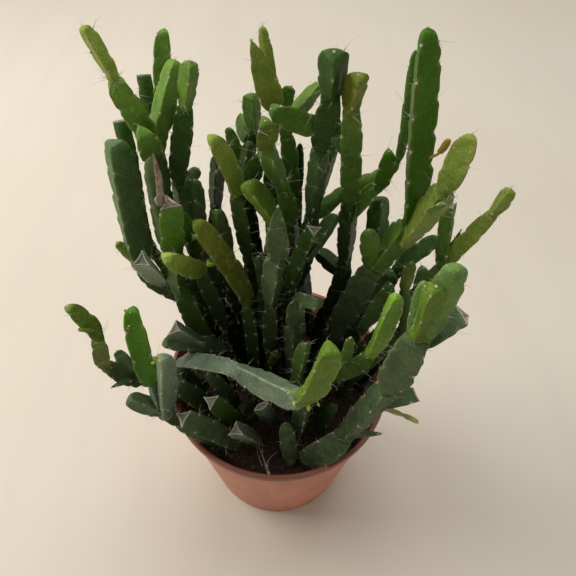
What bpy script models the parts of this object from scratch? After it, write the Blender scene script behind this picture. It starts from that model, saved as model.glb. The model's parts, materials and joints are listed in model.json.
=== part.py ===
"""Potted rhipsalis: a thin plastic grower pot, its soil and the stems of the cactus.

Every stem is one solid, from the peg that is planted in the soil to all of its tips. A stem is
made of runs. A run follows its joints, and each segment between two joints is a ribbed loft
that is narrow at both of its ends, as the segments of the plant are.

Metres, +Z up, front towards -Y, origin at the centre of the pot's underside.
"""
import math

import bmesh
import bpy
import numpy as np
from mathutils import Vector

MM = 0.001

# Pot
POT_HEIGHT = 78.0
LIP_RADIUS = 45.0
LIP_BAND = 3.4            # height of the thick band round the mouth
WALL_TOP_RADIUS = 43.4    # outside of the wall just under the band
BASE_RADIUS = 33.0
WALL = 1.1
FLOOR_TOP = 2.8
FOOT_LIFT = 1.4           # underside of the floor above the foot ring
FOOT_WIDTH = 1.6
PAD_RADIUS = 6.0          # flat pad round the moulding gate, level with the foot ring
DRAIN_RADIUS = 2.6
DRAIN_RING = 20.0
DRAIN_COUNT = 6
POT_SIDES = 56

# Soil and planting
SOIL_TOP = 70.0
SOIL_DOME = 0.8           # the middle stands this much above the edge
GAP = 0.3
PEG_DEPTH = 6.0
PEG_RADIUS = 2.0
PEG_ABOVE = 1.6
HOLE_RADIUS = 2.6

# Stems
SIDES = 6                 # points of a segment's cross-section
VALLEY = {2: 0.50, 3: 0.46}     # valley radius over rib radius, for 2 and 3 ribs
SPAN = {2: 2.0, 3: 1.66}        # seen width over rib radius
NECK = 0.50               # neck radius over rib radius
LONG = 58.0               # a segment longer than this has a joint at its middle

# Rings of a segment: share of its length, share of its rib radius
BODY = ((0.12, 0.84), (0.34, 1.0), (0.68, 0.97), (0.90, 0.80))
TIPS = {
    "round": ((0.12, 0.84), (0.36, 1.0), (0.68, 0.96), (0.90, 0.72), (0.98, 0.38)),
    "point": ((0.12, 0.84), (0.32, 1.0), (0.62, 0.76), (0.88, 0.36)),
    "blunt": ((0.12, 0.84), (0.36, 1.0), (0.72, 0.98), (0.94, 0.84), (1.0, 0.52)),
    "cut": ((0.12, 0.84), (0.36, 1.0), (0.74, 0.97), (1.0, 0.86)),
}

COLOURS = {
    "grey": (0.16, 0.25, 0.15, 1.0),
    "mid": (0.13, 0.24, 0.07, 1.0),
    "dark": (0.06, 0.11, 0.05, 1.0),
    "young": (0.30, 0.38, 0.08, 1.0),
}

# name, colour, runs: tip, ribs, turn in degrees, start, then (x, y, z, width) of each joint, mm
STEMS = (
    ("stem_left_outer", "grey", (
        ("blunt", 3, 30, (-23.5, 12.5), (-36, 11, 110, 5), (-48.5, 10, 130, 6.6),
         (-48, 14, 178, 10.2)),
        ("round", 2, 0, (-47.5, 10, 129.5), (-56, 13, 138.5, 5.2)),
        ("cut", 3, 90, (-43, 10, 122), (-41.5, -7, 151.5, 6.6)))),
    ("stem_left_inner", "dark", (
        ("cut", 3, 30, (-27, 20), (-48.5, 24, 123.5, 6), (-48.5, 26, 164, 6.4)),
        ("cut", 2, 0, (-48, 24, 161.5), (-49.5, 28, 176, 5.8)))),
    ("stem_left_tall", "young", (
        ("round", 3, 90, (-20, 25), (-39.5, 20, 121.5, 6.4), (-38.5, 18, 173, 8),
         (-43.5, 14, 197, 6.6), (-47, 12, 211, 4.4)),
        ("round", 3, 30, (-39, 19, 171.5), (-29.5, 25, 197, 7)),
        ("blunt", 3, 0, (-39, 17.5, 171), (-37, 7, 186, 6.8)),
        ("round", 3, 30, (-38.5, 19.5, 168), (-36.5, 31, 180.5, 4.2), (-33, 33, 201.5, 5.2)),
        ("cut", 2, 0, (-39, 19, 164), (-41.5, 33, 172.5, 3.4), (-42.5, 38, 185.5, 5.2)))),
    ("stem_left_mid_tall", "mid", (
        ("round", 3, 30, (-13, 24), (-33, 26.5, 126, 6.4), (-34, 24.5, 156.5, 7),
         (-27.5, 20, 186, 6.4), (-24, 18, 200, 5.4)),
        ("round", 2, 0, (-33.5, 23.5, 153.5), (-27.5, 27, 159.5, 5)))),
    ("stem_left_stout", "mid", (
        ("cut", 3, 90, (-22, 0), (-35, 4, 124, 7.8), (-34, 2, 147, 7.8), (-32, 1, 167, 7.6)),
        ("round", 2, 0, (-35, 4, 126), (-37.5, 6, 166, 3.8), (-36.5, 7, 178, 3.8)))),
    ("stem_left_ridge", "dark", (
        ("round", 3, -90, (-14, 4), (-28, 6, 137, 6), (-32, 10, 155.5, 5.6)),
        ("round", 3, 30, (-27, 6, 133), (-32.5, -12, 158.5, 6.8)))),
    ("stem_left_short", "mid", (
        ("round", 3, 30, (-17, 14), (-23, 14, 104, 6.6), (-27.5, 18, 141, 5.8), (-27.5, 18, 162, 5)),)),
    ("stem_left_knob", "mid", (
        ("round", 3, 30, (-11, 12), (-18.5, 12.5, 133.5, 7), (-21, 13, 154, 6)),)),
    ("stem_olive", "young", (
        ("blunt", 3, 90, (-9, -5), (-11, -4, 128, 5.6), (-25, 0, 161, 7)),)),
    ("stem_rear_left", "dark", (
        ("cut", 3, 30, (-9, 31), (-22.5, 33, 96, 5.6), (-24, 31, 138.5, 7.2), (-21.5, 31, 161, 5.6)),)),
    ("stem_mid_left_yellow", "young", (
        ("round", 3, 90, (-6, 5), (-11, 8.5, 138, 6.8), (-13, 3, 170, 5), (-17, -5, 193.5, 6)),)),
    ("stem_mid_back_left", "mid", (
        ("round", 3, 90, (-6, 21), (-14, 22, 151, 4), (-9, 24, 176, 4), (-9.5, 24, 188, 5.6)),
        ("round", 2, 0, (-12, 23, 163), (-16, 20, 179.5, 4.4)),
        ("round", 3, 30, (-10, 24, 173), (-13.5, 34, 174.5, 5.6)))),
    ("stem_mid_dark", "dark", (
        ("round", 3, 30, (-3, 15), (-11, 15, 163, 4.6), (-10, 17, 177, 4.4)),
        ("round", 2, 0, (-11, 15, 162), (-6, 11, 177, 6)))),
    ("stem_mid_fill", "dark", (
        ("round", 3, 30, (0, 20.5), (-3, 19, 132.5, 5), (-3, 18, 152.5, 5), (-4, 18, 167.5, 4.8)),)),
    ("stem_mottled", "young", (
        ("round", 3, 90, (3, 8), (2, 5, 156, 5), (0, 3, 172, 5.8), (-4, -5, 191, 5.6),
         (-4, -9, 200.5, 5.4)),)),
    ("stem_rear_post", "mid", (
        ("point", 3, 90, (6, 26), (3.5, 22, 144, 5.8), (1, 22, 176, 6), (-2.5, 21.5, 185.5, 5.4),
         (-8.5, 20, 205, 7)),
        ("round", 2, 0, (-2, 21.5, 184), (-6, 28, 205, 4)),
        ("round", 2, 0, (-1.5, 22, 183), (2, 24, 190.5, 5)),
        ("round", 3, 30, (0, 22, 179), (10.5, 28, 189.5, 5.2)))),
    ("stem_centre_tall", "dark", (
        ("round", 3, 30, (4, 14), (7, 13, 122, 6.2), (9.5, 10, 156, 6.6), (10, 5, 184, 6),
         (11, 1, 201.5, 6.4), (10.5, -3, 213.5, 7.2)),
        ("cut", 3, 0, (11, 5, 190), (-3, 0, 198, 6.4)),
        ("round", 2, 0, (10.5, 10, 155), (19.5, 14, 162.5, 5.2), (35, 20, 169, 5),
         (34, 22, 202.5, 3.4)))),
    ("stem_centre_right_tall", "mid", (
        ("round", 3, 30, (16, 17), (22.5, 13, 131, 7), (20, 6, 165, 6.4), (16, -1, 199, 5.8),
         (16, -5, 209.5, 6)),
        ("round", 3, 30, (20, 8, 155), (27, 4, 172.5, 5.6), (27.5, 1, 186, 5)),
        ("round", 3, 30, (22, 13, 125.5), (13, 18, 131, 6.8)))),
    ("stem_centre_rear", "dark", (
        ("round", 3, 30, (14, 25), (9, 24, 117.5, 5), (11, 21, 149.5, 5), (14.5, 19, 174, 6),
         (15, 18, 185, 3.4)),)),
    ("stem_rear_thin", "dark", (
        ("round", 2, 0, (7, 33), (6, 30, 149, 2.8), (5.5, 32, 166.5, 3)),)),
    ("stem_centre_yellow", "young", (
        ("round", 3, 90, (-4, -1), (-5.5, 3, 129.5, 4.8), (-3, 1, 161, 4.4), (-9, -7, 181, 6.6)),
        ("round", 2, 0, (-5, 3, 122), (-7, -2, 149, 4)))),
    ("stem_centre_post", "grey", (
        ("point", 3, -90, (-3, -8), (-3, -8, 134, 5.4), (-1, -10, 158, 7.2), (-1, -12, 178, 6.6)),
        ("round", 2, 0, (-3, -8, 94.5), (-1, -14, 114.5, 3.8)))),
    ("stem_centre_cut", "dark", (
        ("cut", 3, 30, (5, -3), (3, -3, 136, 6.6), (9, -8, 166.5, 5.2)),
        ("round", 2, 0, (4, -4, 137), (8, 1, 160.5, 4.4)),
        ("round", 3, 30, (7, -6, 152), (16, 1, 164, 5.2)))),
    ("stem_right_diagonal", "mid", (
        ("blunt", 3, 90, (13, 0), (29.5, -3, 146.5, 9.6), (35.5, -4, 164.5, 8.6)),
        ("round", 3, 90, (37, -4, 162), (30.5, 2, 217, 7.6)),
        ("round", 3, 90, (35.5, -5, 159.5), (40.5, -10, 183, 7.8), (43.5, -8, 197.5, 6.2)),
        ("round", 2, 0, (38, -8, 172), (39, -16, 183.5, 4)),
        ("round", 2, 0, (29, -3.5, 145.5), (24, -8, 166.5, 6.8)),
        ("cut", 3, 30, (29.5, -1.5, 145), (29.5, 8.5, 164.5, 7.2)))),
    ("stem_right_rear", "dark", (
        ("round", 3, 30, (21, 14), (42, 12, 129.5, 6), (53, 12, 144.5, 6.6)),)),
    ("stem_right_fill", "dark", (
        ("round", 3, 30, (20, 6), (29.5, 4, 117.5, 5.4), (37.5, 5, 135.5, 8.2)),)),
    ("stem_right_outer", "young", (
        ("round", 3, 90, (27, 5), (49.5, 4, 129.5, 5.2), (53.5, 3, 141.5, 4.6),
         (60.5, 0, 166.5, 5.2), (62, -1, 176, 4.6)),
        ("cut", 3, 30, (53, 3, 140), (51, 8, 162.5, 5.2)),
        ("point", 2, 0, (53, 3, 141), (56, 6, 154, 2.8)))),
    ("stem_right_bud", "mid", (
        ("round", 2, 0, (26, -6), (43, -6, 115, 4.2), (39, -8, 141, 5), (38, -9, 155, 4.4)),)),
    ("stem_right_back", "dark", (
        ("round", 3, 30, (34, -3), (46.5, -3, 120, 4.6), (44.5, -3, 146, 6.8)),)),
    ("stem_right_bright", "young", (
        ("round", 3, 90, (10, -10), (20, -20, 109.5, 6.6), (29, -22, 126, 6.4), (30, -28, 163, 5.8)),
        ("round", 2, 0, (22, -20, 111), (20.5, -27, 142, 4)))),
    ("stem_right_dark", "dark", (
        ("round", 3, 30, (19, -5), (28, -10, 125, 7), (33, -11, 147.5, 6)),)),
    ("stem_front_right", "grey", (
        ("round", 3, -90, (10.5, -35), (23.5, -35, 94.5, 10.4), (32.5, -36, 130, 8.8),
         (35, -37, 158, 9.6), (34.5, -38, 178.5, 7)),
        ("blunt", 2, 0, (36, -37, 154.5), (38, -36, 183, 8.8)),
        ("round", 2, 0, (34, -36, 156), (33.5, -33, 174.5, 4.2)),
        ("cut", 3, 30, (34, -36, 150), (46, -34, 163, 7.2)),
        ("cut", 3, 90, (28, -35, 115), (44.5, -31, 114.5, 6.2)),
        ("point", 2, 0, (22, -34, 93), (37.5, -32, 88.5, 7.2)))),
    ("stem_front_arch", "grey", (
        ("blunt", 3, -90, (-30, -10), (-36.5, -10, 98, 5.6), (-12.5, -29, 125.5, 6.8),
         (6.5, -42, 134, 8.4), (12.5, -44, 162, 7.4)),)),
    ("stem_front_post", "grey", (
        ("round", 3, -90, (8, -25), (9.5, -28, 102, 7)),)),
    ("stem_front_low", "grey", (
        ("round", 2, 0, (5, -36), (2.5, -31, 94, 6.4)),)),
    ("stem_front_dark", "dark", (
        ("round", 3, 30, (17, -22), (20, -21, 88, 8.2)),)),
    ("stem_centre_low", "mid", (
        ("round", 3, 90, (7, -16), (6.5, -20, 108, 7.6), (8, -24, 134, 5.2)),)),
    ("stem_centre_hook", "grey", (
        ("blunt", 3, -90, (6, -8), (4.5, -13, 129, 6.8), (6, -14, 143.5, 6), (11.5, -19, 147.5, 4.6)),)),
    ("stem_left_level", "grey", (
        ("blunt", 3, 0, (-15, -1), (-22, -6, 103.5, 6.6), (-40, -12, 115, 6.2)),
        ("cut", 3, 90, (-28, -8, 107), (-36, -9, 119.5, 7.6)))),
    ("stem_trailing_left", "grey", (
        ("round", 3, 90, (-22, -30), (-35.5, -30, 92, 5.4), (-40, -31, 102, 4.8),
         (-49.5, -31, 110.5, 6.6)),
        ("round", 3, 30, (-40, -31, 100), (-41, -28, 116, 4.6), (-44, -18, 143, 7.2)),
        ("round", 3, -90, (-39, -31, 99), (-35, -27, 131, 7.8)))),
    ("stem_far_left", "grey", (
        ("round", 3, 90, (-33, -2), (-51, -15, 95, 6), (-59.5, -18, 109.5, 7),
         (-57.5, -19, 129, 5.4), (-61.5, -20, 145.5, 5.8)),
        ("round", 2, 0, (-52.5, -16, 102), (-58, -11, 108, 5.6)),
        ("point", 2, 0, (-53, -16, 98), (-57, -25, 107, 4.2)))),
    ("stem_front_left_cut", "grey", (
        ("cut", 3, 30, (-15, -29), (-32, -34, 104, 7.4)),)),
    ("stem_front_left_short", "mid", (
        ("cut", 3, 30, (-15.5, -22), (-24, -25, 98.5, 7.4)),)),
    ("stem_front_star", "grey", (
        ("cut", 3, 90, (-8, -28), (-15, -33, 92, 6.8)),)),
    ("stem_front_curled", "grey", (
        ("cut", 2, 30, (-3, -19), (-6, -26, 97, 7.2)),)),
    ("stem_front_knob", "grey", (
        ("round", 3, 30, (-8.5, -15.5), (-14.5, -18.5, 81, 6.2)),)),
    ("stem_left_low", "dark", (
        ("round", 3, 30, (-26, -14), (-37, -20, 101, 7.8)),)),
    ("stem_left_low_post", "mid", (
        ("round", 3, 30, (-17, -13), (-25, -19, 106.5, 6)),)),
)


def material(name, colour, roughness):
    mat = bpy.data.materials.new(name)
    mat.use_nodes = True
    shader = mat.node_tree.nodes["Principled BSDF"]
    shader.inputs["Base Color"].default_value = colour
    shader.inputs["Roughness"].default_value = roughness
    shader.inputs["Metallic"].default_value = 0.0
    return mat


def make_object(name, vertices, faces, mat, smooth=35.0):
    """An object from points in millimetres and faces."""
    mesh = bpy.data.meshes.new(name)
    mesh.from_pydata([tuple(c * MM for c in v) for v in vertices], [], faces)
    bm = bmesh.new()
    bm.from_mesh(mesh)
    bmesh.ops.recalc_face_normals(bm, faces=bm.faces)
    bm.to_mesh(mesh)
    bm.free()
    mesh.shade_smooth()
    mesh.set_sharp_from_angle(angle=math.radians(smooth))
    obj = bpy.data.objects.new(name, mesh)
    bpy.context.scene.collection.objects.link(obj)
    if mat is not None:
        mesh.materials.append(mat)
    return obj


def turned(profile, sides):
    """Points and faces of a closed profile of (radius, height) turned about Z.

    A profile that starts and ends on the axis closes at its two poles.
    """
    inner = profile[1:-1]
    verts = [(0.0, 0.0, profile[0][1]), (0.0, 0.0, profile[-1][1])]
    for r, z in inner:
        for k in range(sides):
            a = 2.0 * math.pi * k / sides
            verts.append((r * math.cos(a), r * math.sin(a), z))
    faces = []
    last = 2 + (len(inner) - 1) * sides
    for k in range(sides):
        n = (k + 1) % sides
        faces.append((0, 2 + n, 2 + k))
        faces.append((1, last + k, last + n))
        for j in range(len(inner) - 1):
            a = 2 + j * sides
            faces.append((a + k, a + n, a + sides + n, a + sides + k))
    return verts, faces


def cutter(name, vertices, faces):
    obj = make_object(name, vertices, faces, None)
    obj.hide_render = True
    obj.display_type = "WIRE"
    return obj


def boolean(obj, other, operation):
    mod = obj.modifiers.new(other.name, "BOOLEAN")
    mod.operation = operation
    mod.solver = "EXACT"
    mod.use_self = True
    mod.object = other


def drums(places, radius, low, high, sides):
    """Upright prisms, one at each (x, y), as one mesh of separate solids."""
    verts, faces = [], []
    for x, y in places:
        pts, fcs = turned(((0, low), (radius, low), (radius, high), (0, high)), sides)
        base = len(verts)
        verts += [(x + p[0], y + p[1], p[2]) for p in pts]
        faces += [tuple(base + i for i in f) for f in fcs]
    return verts, faces


def wall_radius(z):
    """Outside of the pot's tapered wall at a height."""
    share = z / (POT_HEIGHT - LIP_BAND)
    return BASE_RADIUS + (WALL_TOP_RADIUS - BASE_RADIUS) * share


def build_pot():
    band = POT_HEIGHT - LIP_BAND
    inner_foot = BASE_RADIUS - FOOT_WIDTH
    profile = (
        (0.0, 0.0), (PAD_RADIUS, 0.0), (PAD_RADIUS + 0.6, FOOT_LIFT), (inner_foot - 0.6, FOOT_LIFT),
        (inner_foot, 0.0), (BASE_RADIUS - 0.3, 0.0),
        (BASE_RADIUS, 0.4), (wall_radius(band), band), (LIP_RADIUS - 0.5, band + 0.1),
        (LIP_RADIUS, band + 0.7), (LIP_RADIUS, POT_HEIGHT - 0.7), (LIP_RADIUS - 0.5, POT_HEIGHT),
        (LIP_RADIUS - 1.3, POT_HEIGHT), (LIP_RADIUS - 1.7, POT_HEIGHT - 0.6),
        (wall_radius(band) - WALL, band - 0.6),
        (wall_radius(FLOOR_TOP + 1.5) - WALL, FLOOR_TOP + 1.5),
        (wall_radius(FLOOR_TOP) - WALL - 1.5, FLOOR_TOP), (0.0, FLOOR_TOP))
    verts, faces = turned(profile, POT_SIDES)
    pot = make_object("pot", verts, faces, material("terracotta_plastic", (0.52, 0.20, 0.12, 1), 0.5))
    ring = [(DRAIN_RING * math.cos(2 * math.pi * k / DRAIN_COUNT),
             DRAIN_RING * math.sin(2 * math.pi * k / DRAIN_COUNT)) for k in range(DRAIN_COUNT)]
    verts, faces = drums(ring, DRAIN_RADIUS, -1.0, FLOOR_TOP + 1.0, 16)
    boolean(pot, cutter("drain_holes", verts, faces), "DIFFERENCE")


def build_soil(places):
    low = FLOOR_TOP + GAP
    clear = WALL + GAP
    profile = (
        (0.0, low), (wall_radius(low) - clear - 2.0, low), (wall_radius(low + 2.0) - clear, low + 2.0),
        (wall_radius(SOIL_TOP - 1.0) - clear, SOIL_TOP - 1.0),
        (wall_radius(SOIL_TOP) - clear - 1.0, SOIL_TOP - SOIL_DOME), (0.0, SOIL_TOP - SOIL_DOME * 0.2))
    verts, faces = turned(profile, 40)
    soil = make_object("soil", verts, faces, material("peat_soil", (0.035, 0.018, 0.010, 1), 0.95))
    verts, faces = drums(places, HOLE_RADIUS, SOIL_TOP - PEG_DEPTH - GAP, SOIL_TOP + 4.0, 8)
    boolean(soil, cutter("planting_holes", verts, faces), "DIFFERENCE")


def curve_point(points, index, share):
    """Point and direction on the smooth line through the joints.

    Cubic Hermite between joints i and i + 1; the slope at a joint is 0.8 of half the
    chord between its neighbours, so the line bends most at the joints.
    """
    def slope(i):
        a, b = max(i - 1, 0), min(i + 1, len(points) - 1)
        return (points[b] - points[a]) * (0.8 / (b - a))
    p, q, s, e = points[index], points[index + 1], slope(index), slope(index + 1)
    t = share
    place = ((2 * t**3 - 3 * t**2 + 1) * p + (t**3 - 2 * t**2 + t) * s
             + (3 * t**2 - 2 * t**3) * q + (t**3 - t**2) * e)
    way = ((6 * t**2 - 6 * t) * p + (3 * t**2 - 4 * t + 1) * s
           + (6 * t - 6 * t**2) * q + (3 * t**2 - 2 * t) * e)
    return place, way / np.linalg.norm(way)


def halved(joints):
    """Joints with one more at the middle of every long segment."""
    out = [joints[0]]
    for before, after in zip(joints, joints[1:]):
        if np.linalg.norm(np.subtract(after[:3], before[:3])) > LONG:
            middle = [(a + b) / 2 for a, b in zip(before[:3], after[:3])]
            out.append((*middle, after[3]))
        out.append(after)
    return out


def run_mesh(tip, ribs, turn, start, joints):
    """Closed loft of one run, in millimetres.

    A ring at direction a has the radius R where a rib stands and R * VALLEY between two
    ribs; R follows BODY along a segment, and is R * NECK and even all round at a joint.
    The ribs of a segment with three stand between those of the one before it.
    """
    planted = len(start) == 2
    first = (*start, SOIL_TOP + PEG_ABOVE) if planted else start
    line = halved([(*first, 0.0), *joints])
    points = [np.array(j[:3], dtype=float) for j in line]
    radii = [j[3] / SPAN[ribs] for j in line[1:]]

    rings = []      # centre, direction, radius, valley share, turn
    if planted:
        up = np.array((0.0, 0.0, 1.0))
        low = np.array((*start, SOIL_TOP - PEG_DEPTH))
        rings.append((low, up, PEG_RADIUS, 1.0, 0.0))
        rings.append((points[0], up, PEG_RADIUS, 1.0, 0.0))
    else:
        place, way = curve_point(points, 0, 0.0)
        rings.append((place, way, radii[0] * NECK, 0.9, 0.0))
    phase = math.radians(turn)
    for i, radius in enumerate(radii):
        ends = i == len(radii) - 1
        for share, size in (TIPS[tip] if ends else BODY):
            place, way = curve_point(points, i, share)
            rings.append((place, way, radius * size, VALLEY[ribs], phase))
        if not ends:
            place, way = curve_point(points, i + 1, 0.0)
            rings.append((place, way, min(radius, radii[i + 1]) * NECK * 1.1, 0.9, phase))
            phase += math.radians(60.0) if ribs == 3 else 0.0

    verts = []
    side = np.array((1.0, 0.0, 0.0))
    for centre, way, radius, valley, ring_turn in rings:
        side = side - way * np.dot(side, way)
        side /= np.linalg.norm(side)
        other = np.cross(way, side)
        step = 2 if ribs == 3 else 3
        for k in range(SIDES):
            r = radius if k % step == 0 else radius * valley
            a = ring_turn + 2.0 * math.pi * k / SIDES
            verts.append(centre + r * (math.cos(a) * side + math.sin(a) * other))
    faces = [tuple(range(SIDES))[::-1]]
    for j in range(len(rings) - 1):
        a, b = j * SIDES, (j + 1) * SIDES
        for k in range(SIDES):
            n = (k + 1) % SIDES
            faces.append((a + k, a + n, b + n, b + k))
    last = (len(rings) - 1) * SIDES
    if tip in ("round", "point"):
        verts.append(points[-1])
        faces += [(last + k, last + (k + 1) % SIDES, len(verts) - 1) for k in range(SIDES)]
    else:
        faces.append(tuple(range(last, last + SIDES)))
    return verts, faces


def build_stem(name, colour, runs, mats):
    tip, ribs, turn, start, *joints = runs[0]
    verts, faces = run_mesh(tip, ribs, turn, start, joints)
    stem = make_object(name, verts, faces, mats[colour], 60.0)
    for number, (tip, ribs, turn, start, *joints) in enumerate(runs[1:], 1):
        verts, faces = run_mesh(tip, ribs, turn, start, joints)
        boolean(stem, cutter(f"{name}_shoot_{number}", verts, faces), "UNION")


def main():
    for obj in list(bpy.data.objects):
        bpy.data.objects.remove(obj, do_unlink=True)
    mats = {key: material("stem_" + key, value, 0.45) for key, value in COLOURS.items()}
    build_pot()
    build_soil([runs[0][3] for _, _, runs in STEMS])
    for name, colour, runs in STEMS:
        build_stem(name, colour, runs, mats)


main()
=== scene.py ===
"""Potted rhipsalis: fleshy ribbed stems, peat soil and a thin plastic pot, with a plain studio.

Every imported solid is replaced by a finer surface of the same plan. A stem gets a fine skin along its
solid's joints, with ribs, narrow necks, notched edges, areoles with wool and bristles, and calluses
on cut ends.
"""

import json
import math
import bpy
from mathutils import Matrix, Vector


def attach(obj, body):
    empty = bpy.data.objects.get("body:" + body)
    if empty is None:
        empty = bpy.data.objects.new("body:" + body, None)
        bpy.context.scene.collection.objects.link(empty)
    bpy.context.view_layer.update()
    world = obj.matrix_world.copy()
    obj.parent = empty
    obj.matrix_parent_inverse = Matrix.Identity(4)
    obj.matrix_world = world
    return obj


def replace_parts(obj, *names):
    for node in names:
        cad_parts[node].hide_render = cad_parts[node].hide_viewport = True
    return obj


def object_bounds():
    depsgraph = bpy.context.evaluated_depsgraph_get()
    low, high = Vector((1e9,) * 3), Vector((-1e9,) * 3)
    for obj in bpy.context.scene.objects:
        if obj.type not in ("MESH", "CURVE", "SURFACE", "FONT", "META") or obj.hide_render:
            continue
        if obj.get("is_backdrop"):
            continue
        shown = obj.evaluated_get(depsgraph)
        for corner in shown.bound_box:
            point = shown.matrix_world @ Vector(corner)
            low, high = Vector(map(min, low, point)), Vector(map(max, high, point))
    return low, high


bl_info = {
    "name": "Potted rhipsalis",
    "version": (1, 0, 0),
    "blender": (4, 5, 0),
    "location": "3D Viewport > Sidebar > Rhipsalis",
    "description": "Builds the stems, soil, pot and studio of a potted rhipsalis",
    "category": "Object",
}

import bpy
import numpy as np
from bpy.props import FloatProperty, FloatVectorProperty, IntProperty, PointerProperty
from mathutils import Matrix, Vector

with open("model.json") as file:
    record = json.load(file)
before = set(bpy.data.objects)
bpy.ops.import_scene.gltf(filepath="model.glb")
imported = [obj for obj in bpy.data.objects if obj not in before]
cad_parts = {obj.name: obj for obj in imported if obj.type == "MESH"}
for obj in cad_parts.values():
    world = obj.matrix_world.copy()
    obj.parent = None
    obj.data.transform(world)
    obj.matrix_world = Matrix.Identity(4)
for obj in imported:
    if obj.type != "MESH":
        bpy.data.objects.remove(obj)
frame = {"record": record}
CAD_LOW, CAD_HIGH = (np.array(corner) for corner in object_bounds())
SLOTS = {row["node"]: row["material_slot"] for row in frame["record"]["subparts"]}

MM = 0.001
ROOT = "root"

# The pot's and the soil's sizes in millimetres, as the solids have them
POT_HEIGHT = 78.0
LIP_RADIUS = 45.0
LIP_BAND = 3.4
WALL_TOP_RADIUS = 43.4
BASE_RADIUS = 33.0
WALL = 1.1
FLOOR_TOP = 2.8
FOOT_LIFT = 1.4
FOOT_WIDTH = 1.6
PAD_RADIUS = 6.0
DRAIN_RADIUS = 2.6
DRAIN_RING = 20.0
DRAIN_COUNT = 6
SOIL_TOP = 70.0
SOIL_DOME = 0.8
SOIL_RADIUS = 41.0
GAP = 0.3

# The plan of a stem, as the solids have it
PEG_RADIUS = 2.0
PEG_ABOVE = 1.6
SPAN = {2: 2.0, 3: 1.66}        # seen width over rib radius, by number of ribs
VALLEY = 0.45                   # radius between two ribs over rib radius
NECK = 0.50                     # radius of a neck over rib radius
INNER_NECK = 1.1 * NECK         # the same between two segments of a run
LONG = 58.0                     # a longer segment gets one more joint, at its middle

# How strong an areole mark is, where it isn't one on a rib, which has 0 to 1
NECK_MARK = 1.4
TIP_MARK = 1.6

# Rib radius along a segment: share of its length, share of the widest
BODY = ((0.12, 0.84), (0.34, 1.0), (0.68, 0.97), (0.90, 0.80))
TIPS = {
    "round": ((0.12, 0.84), (0.36, 1.0), (0.68, 0.96), (0.90, 0.72), (0.98, 0.38), (1.0, 0.0)),
    "point": ((0.12, 0.84), (0.32, 1.0), (0.62, 0.76), (0.88, 0.36), (1.0, 0.0)),
    "blunt": ((0.12, 0.84), (0.36, 1.0), (0.72, 0.98), (0.90, 0.84), (0.97, 0.66), (1.0, 0.46)),
    "cut": ((0.12, 0.84), (0.36, 1.0), (0.74, 0.97), (1.0, 0.86)),
}

# How much of their depth the valleys lose towards a tip, the rings that close a flat tip (share of
# its radius, depth below its end, how much callus) and the valley share of the innermost one
FLATTER = {"round": 0.55, "point": 0.55, "blunt": 0.35, "cut": 0.0}
CAPS = {
    "blunt": ((0.75, -0.12, 0.0), (0.45, -0.2, 0.0), (0.2, -0.22, 0.0)),
    "cut": ((0.94, -0.12, 1.0), (0.86, -0.06, 1.0), (0.74, 0.50, 0.84), (0.48, 0.85, 0.62),
            (0.2, 0.55, 0.72)),
}
CAP_VALLEY = {"blunt": 0.8, "cut": 0.36}

# Relief of a stem's skin in millimetres, and in radians from the middle of a rib
NOTCH_REACH = 0.85      # half length of the notch at an areole
SWELL_BELOW = 1.7       # distance from there to the swelling below it
SWELL_REACH = 1.2
SWELL = 0.45            # its height over the notch's depth
NOTCH_ANGLE = 0.30      # how far a notch reaches to the sides of a rib
EDGE_ANGLE = 0.16       # how far the pale edge of a rib does
AREOLE_REACH = 0.42
MEAN_SWELL = 0.972      # share of the radius about which the skin waves
# Its waves: height over the radius, length over 2 pi, and waves around the stem, 0 for one a rib
WAVES = ((0.018, 2.3, 0), (0.014, 1.1, -2), (0.020, 9.0, 1))

WOOLLY = 0.8            # share of the areoles that have wool
WEAKEST = 0.35          # a mark weaker than this bears nothing
SHELTER = (25.0, 34.0)  # radius and height over the soil within which the areoles are bare

# Seeds of the random numbers; each stem's number in the table is added to the first
STEM_SEED = 1000
SHOOT_SEED = 77
AREOLE_SEED = 21
CRUMB_SEED = 11
FIBRE_SEED = 12

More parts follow.
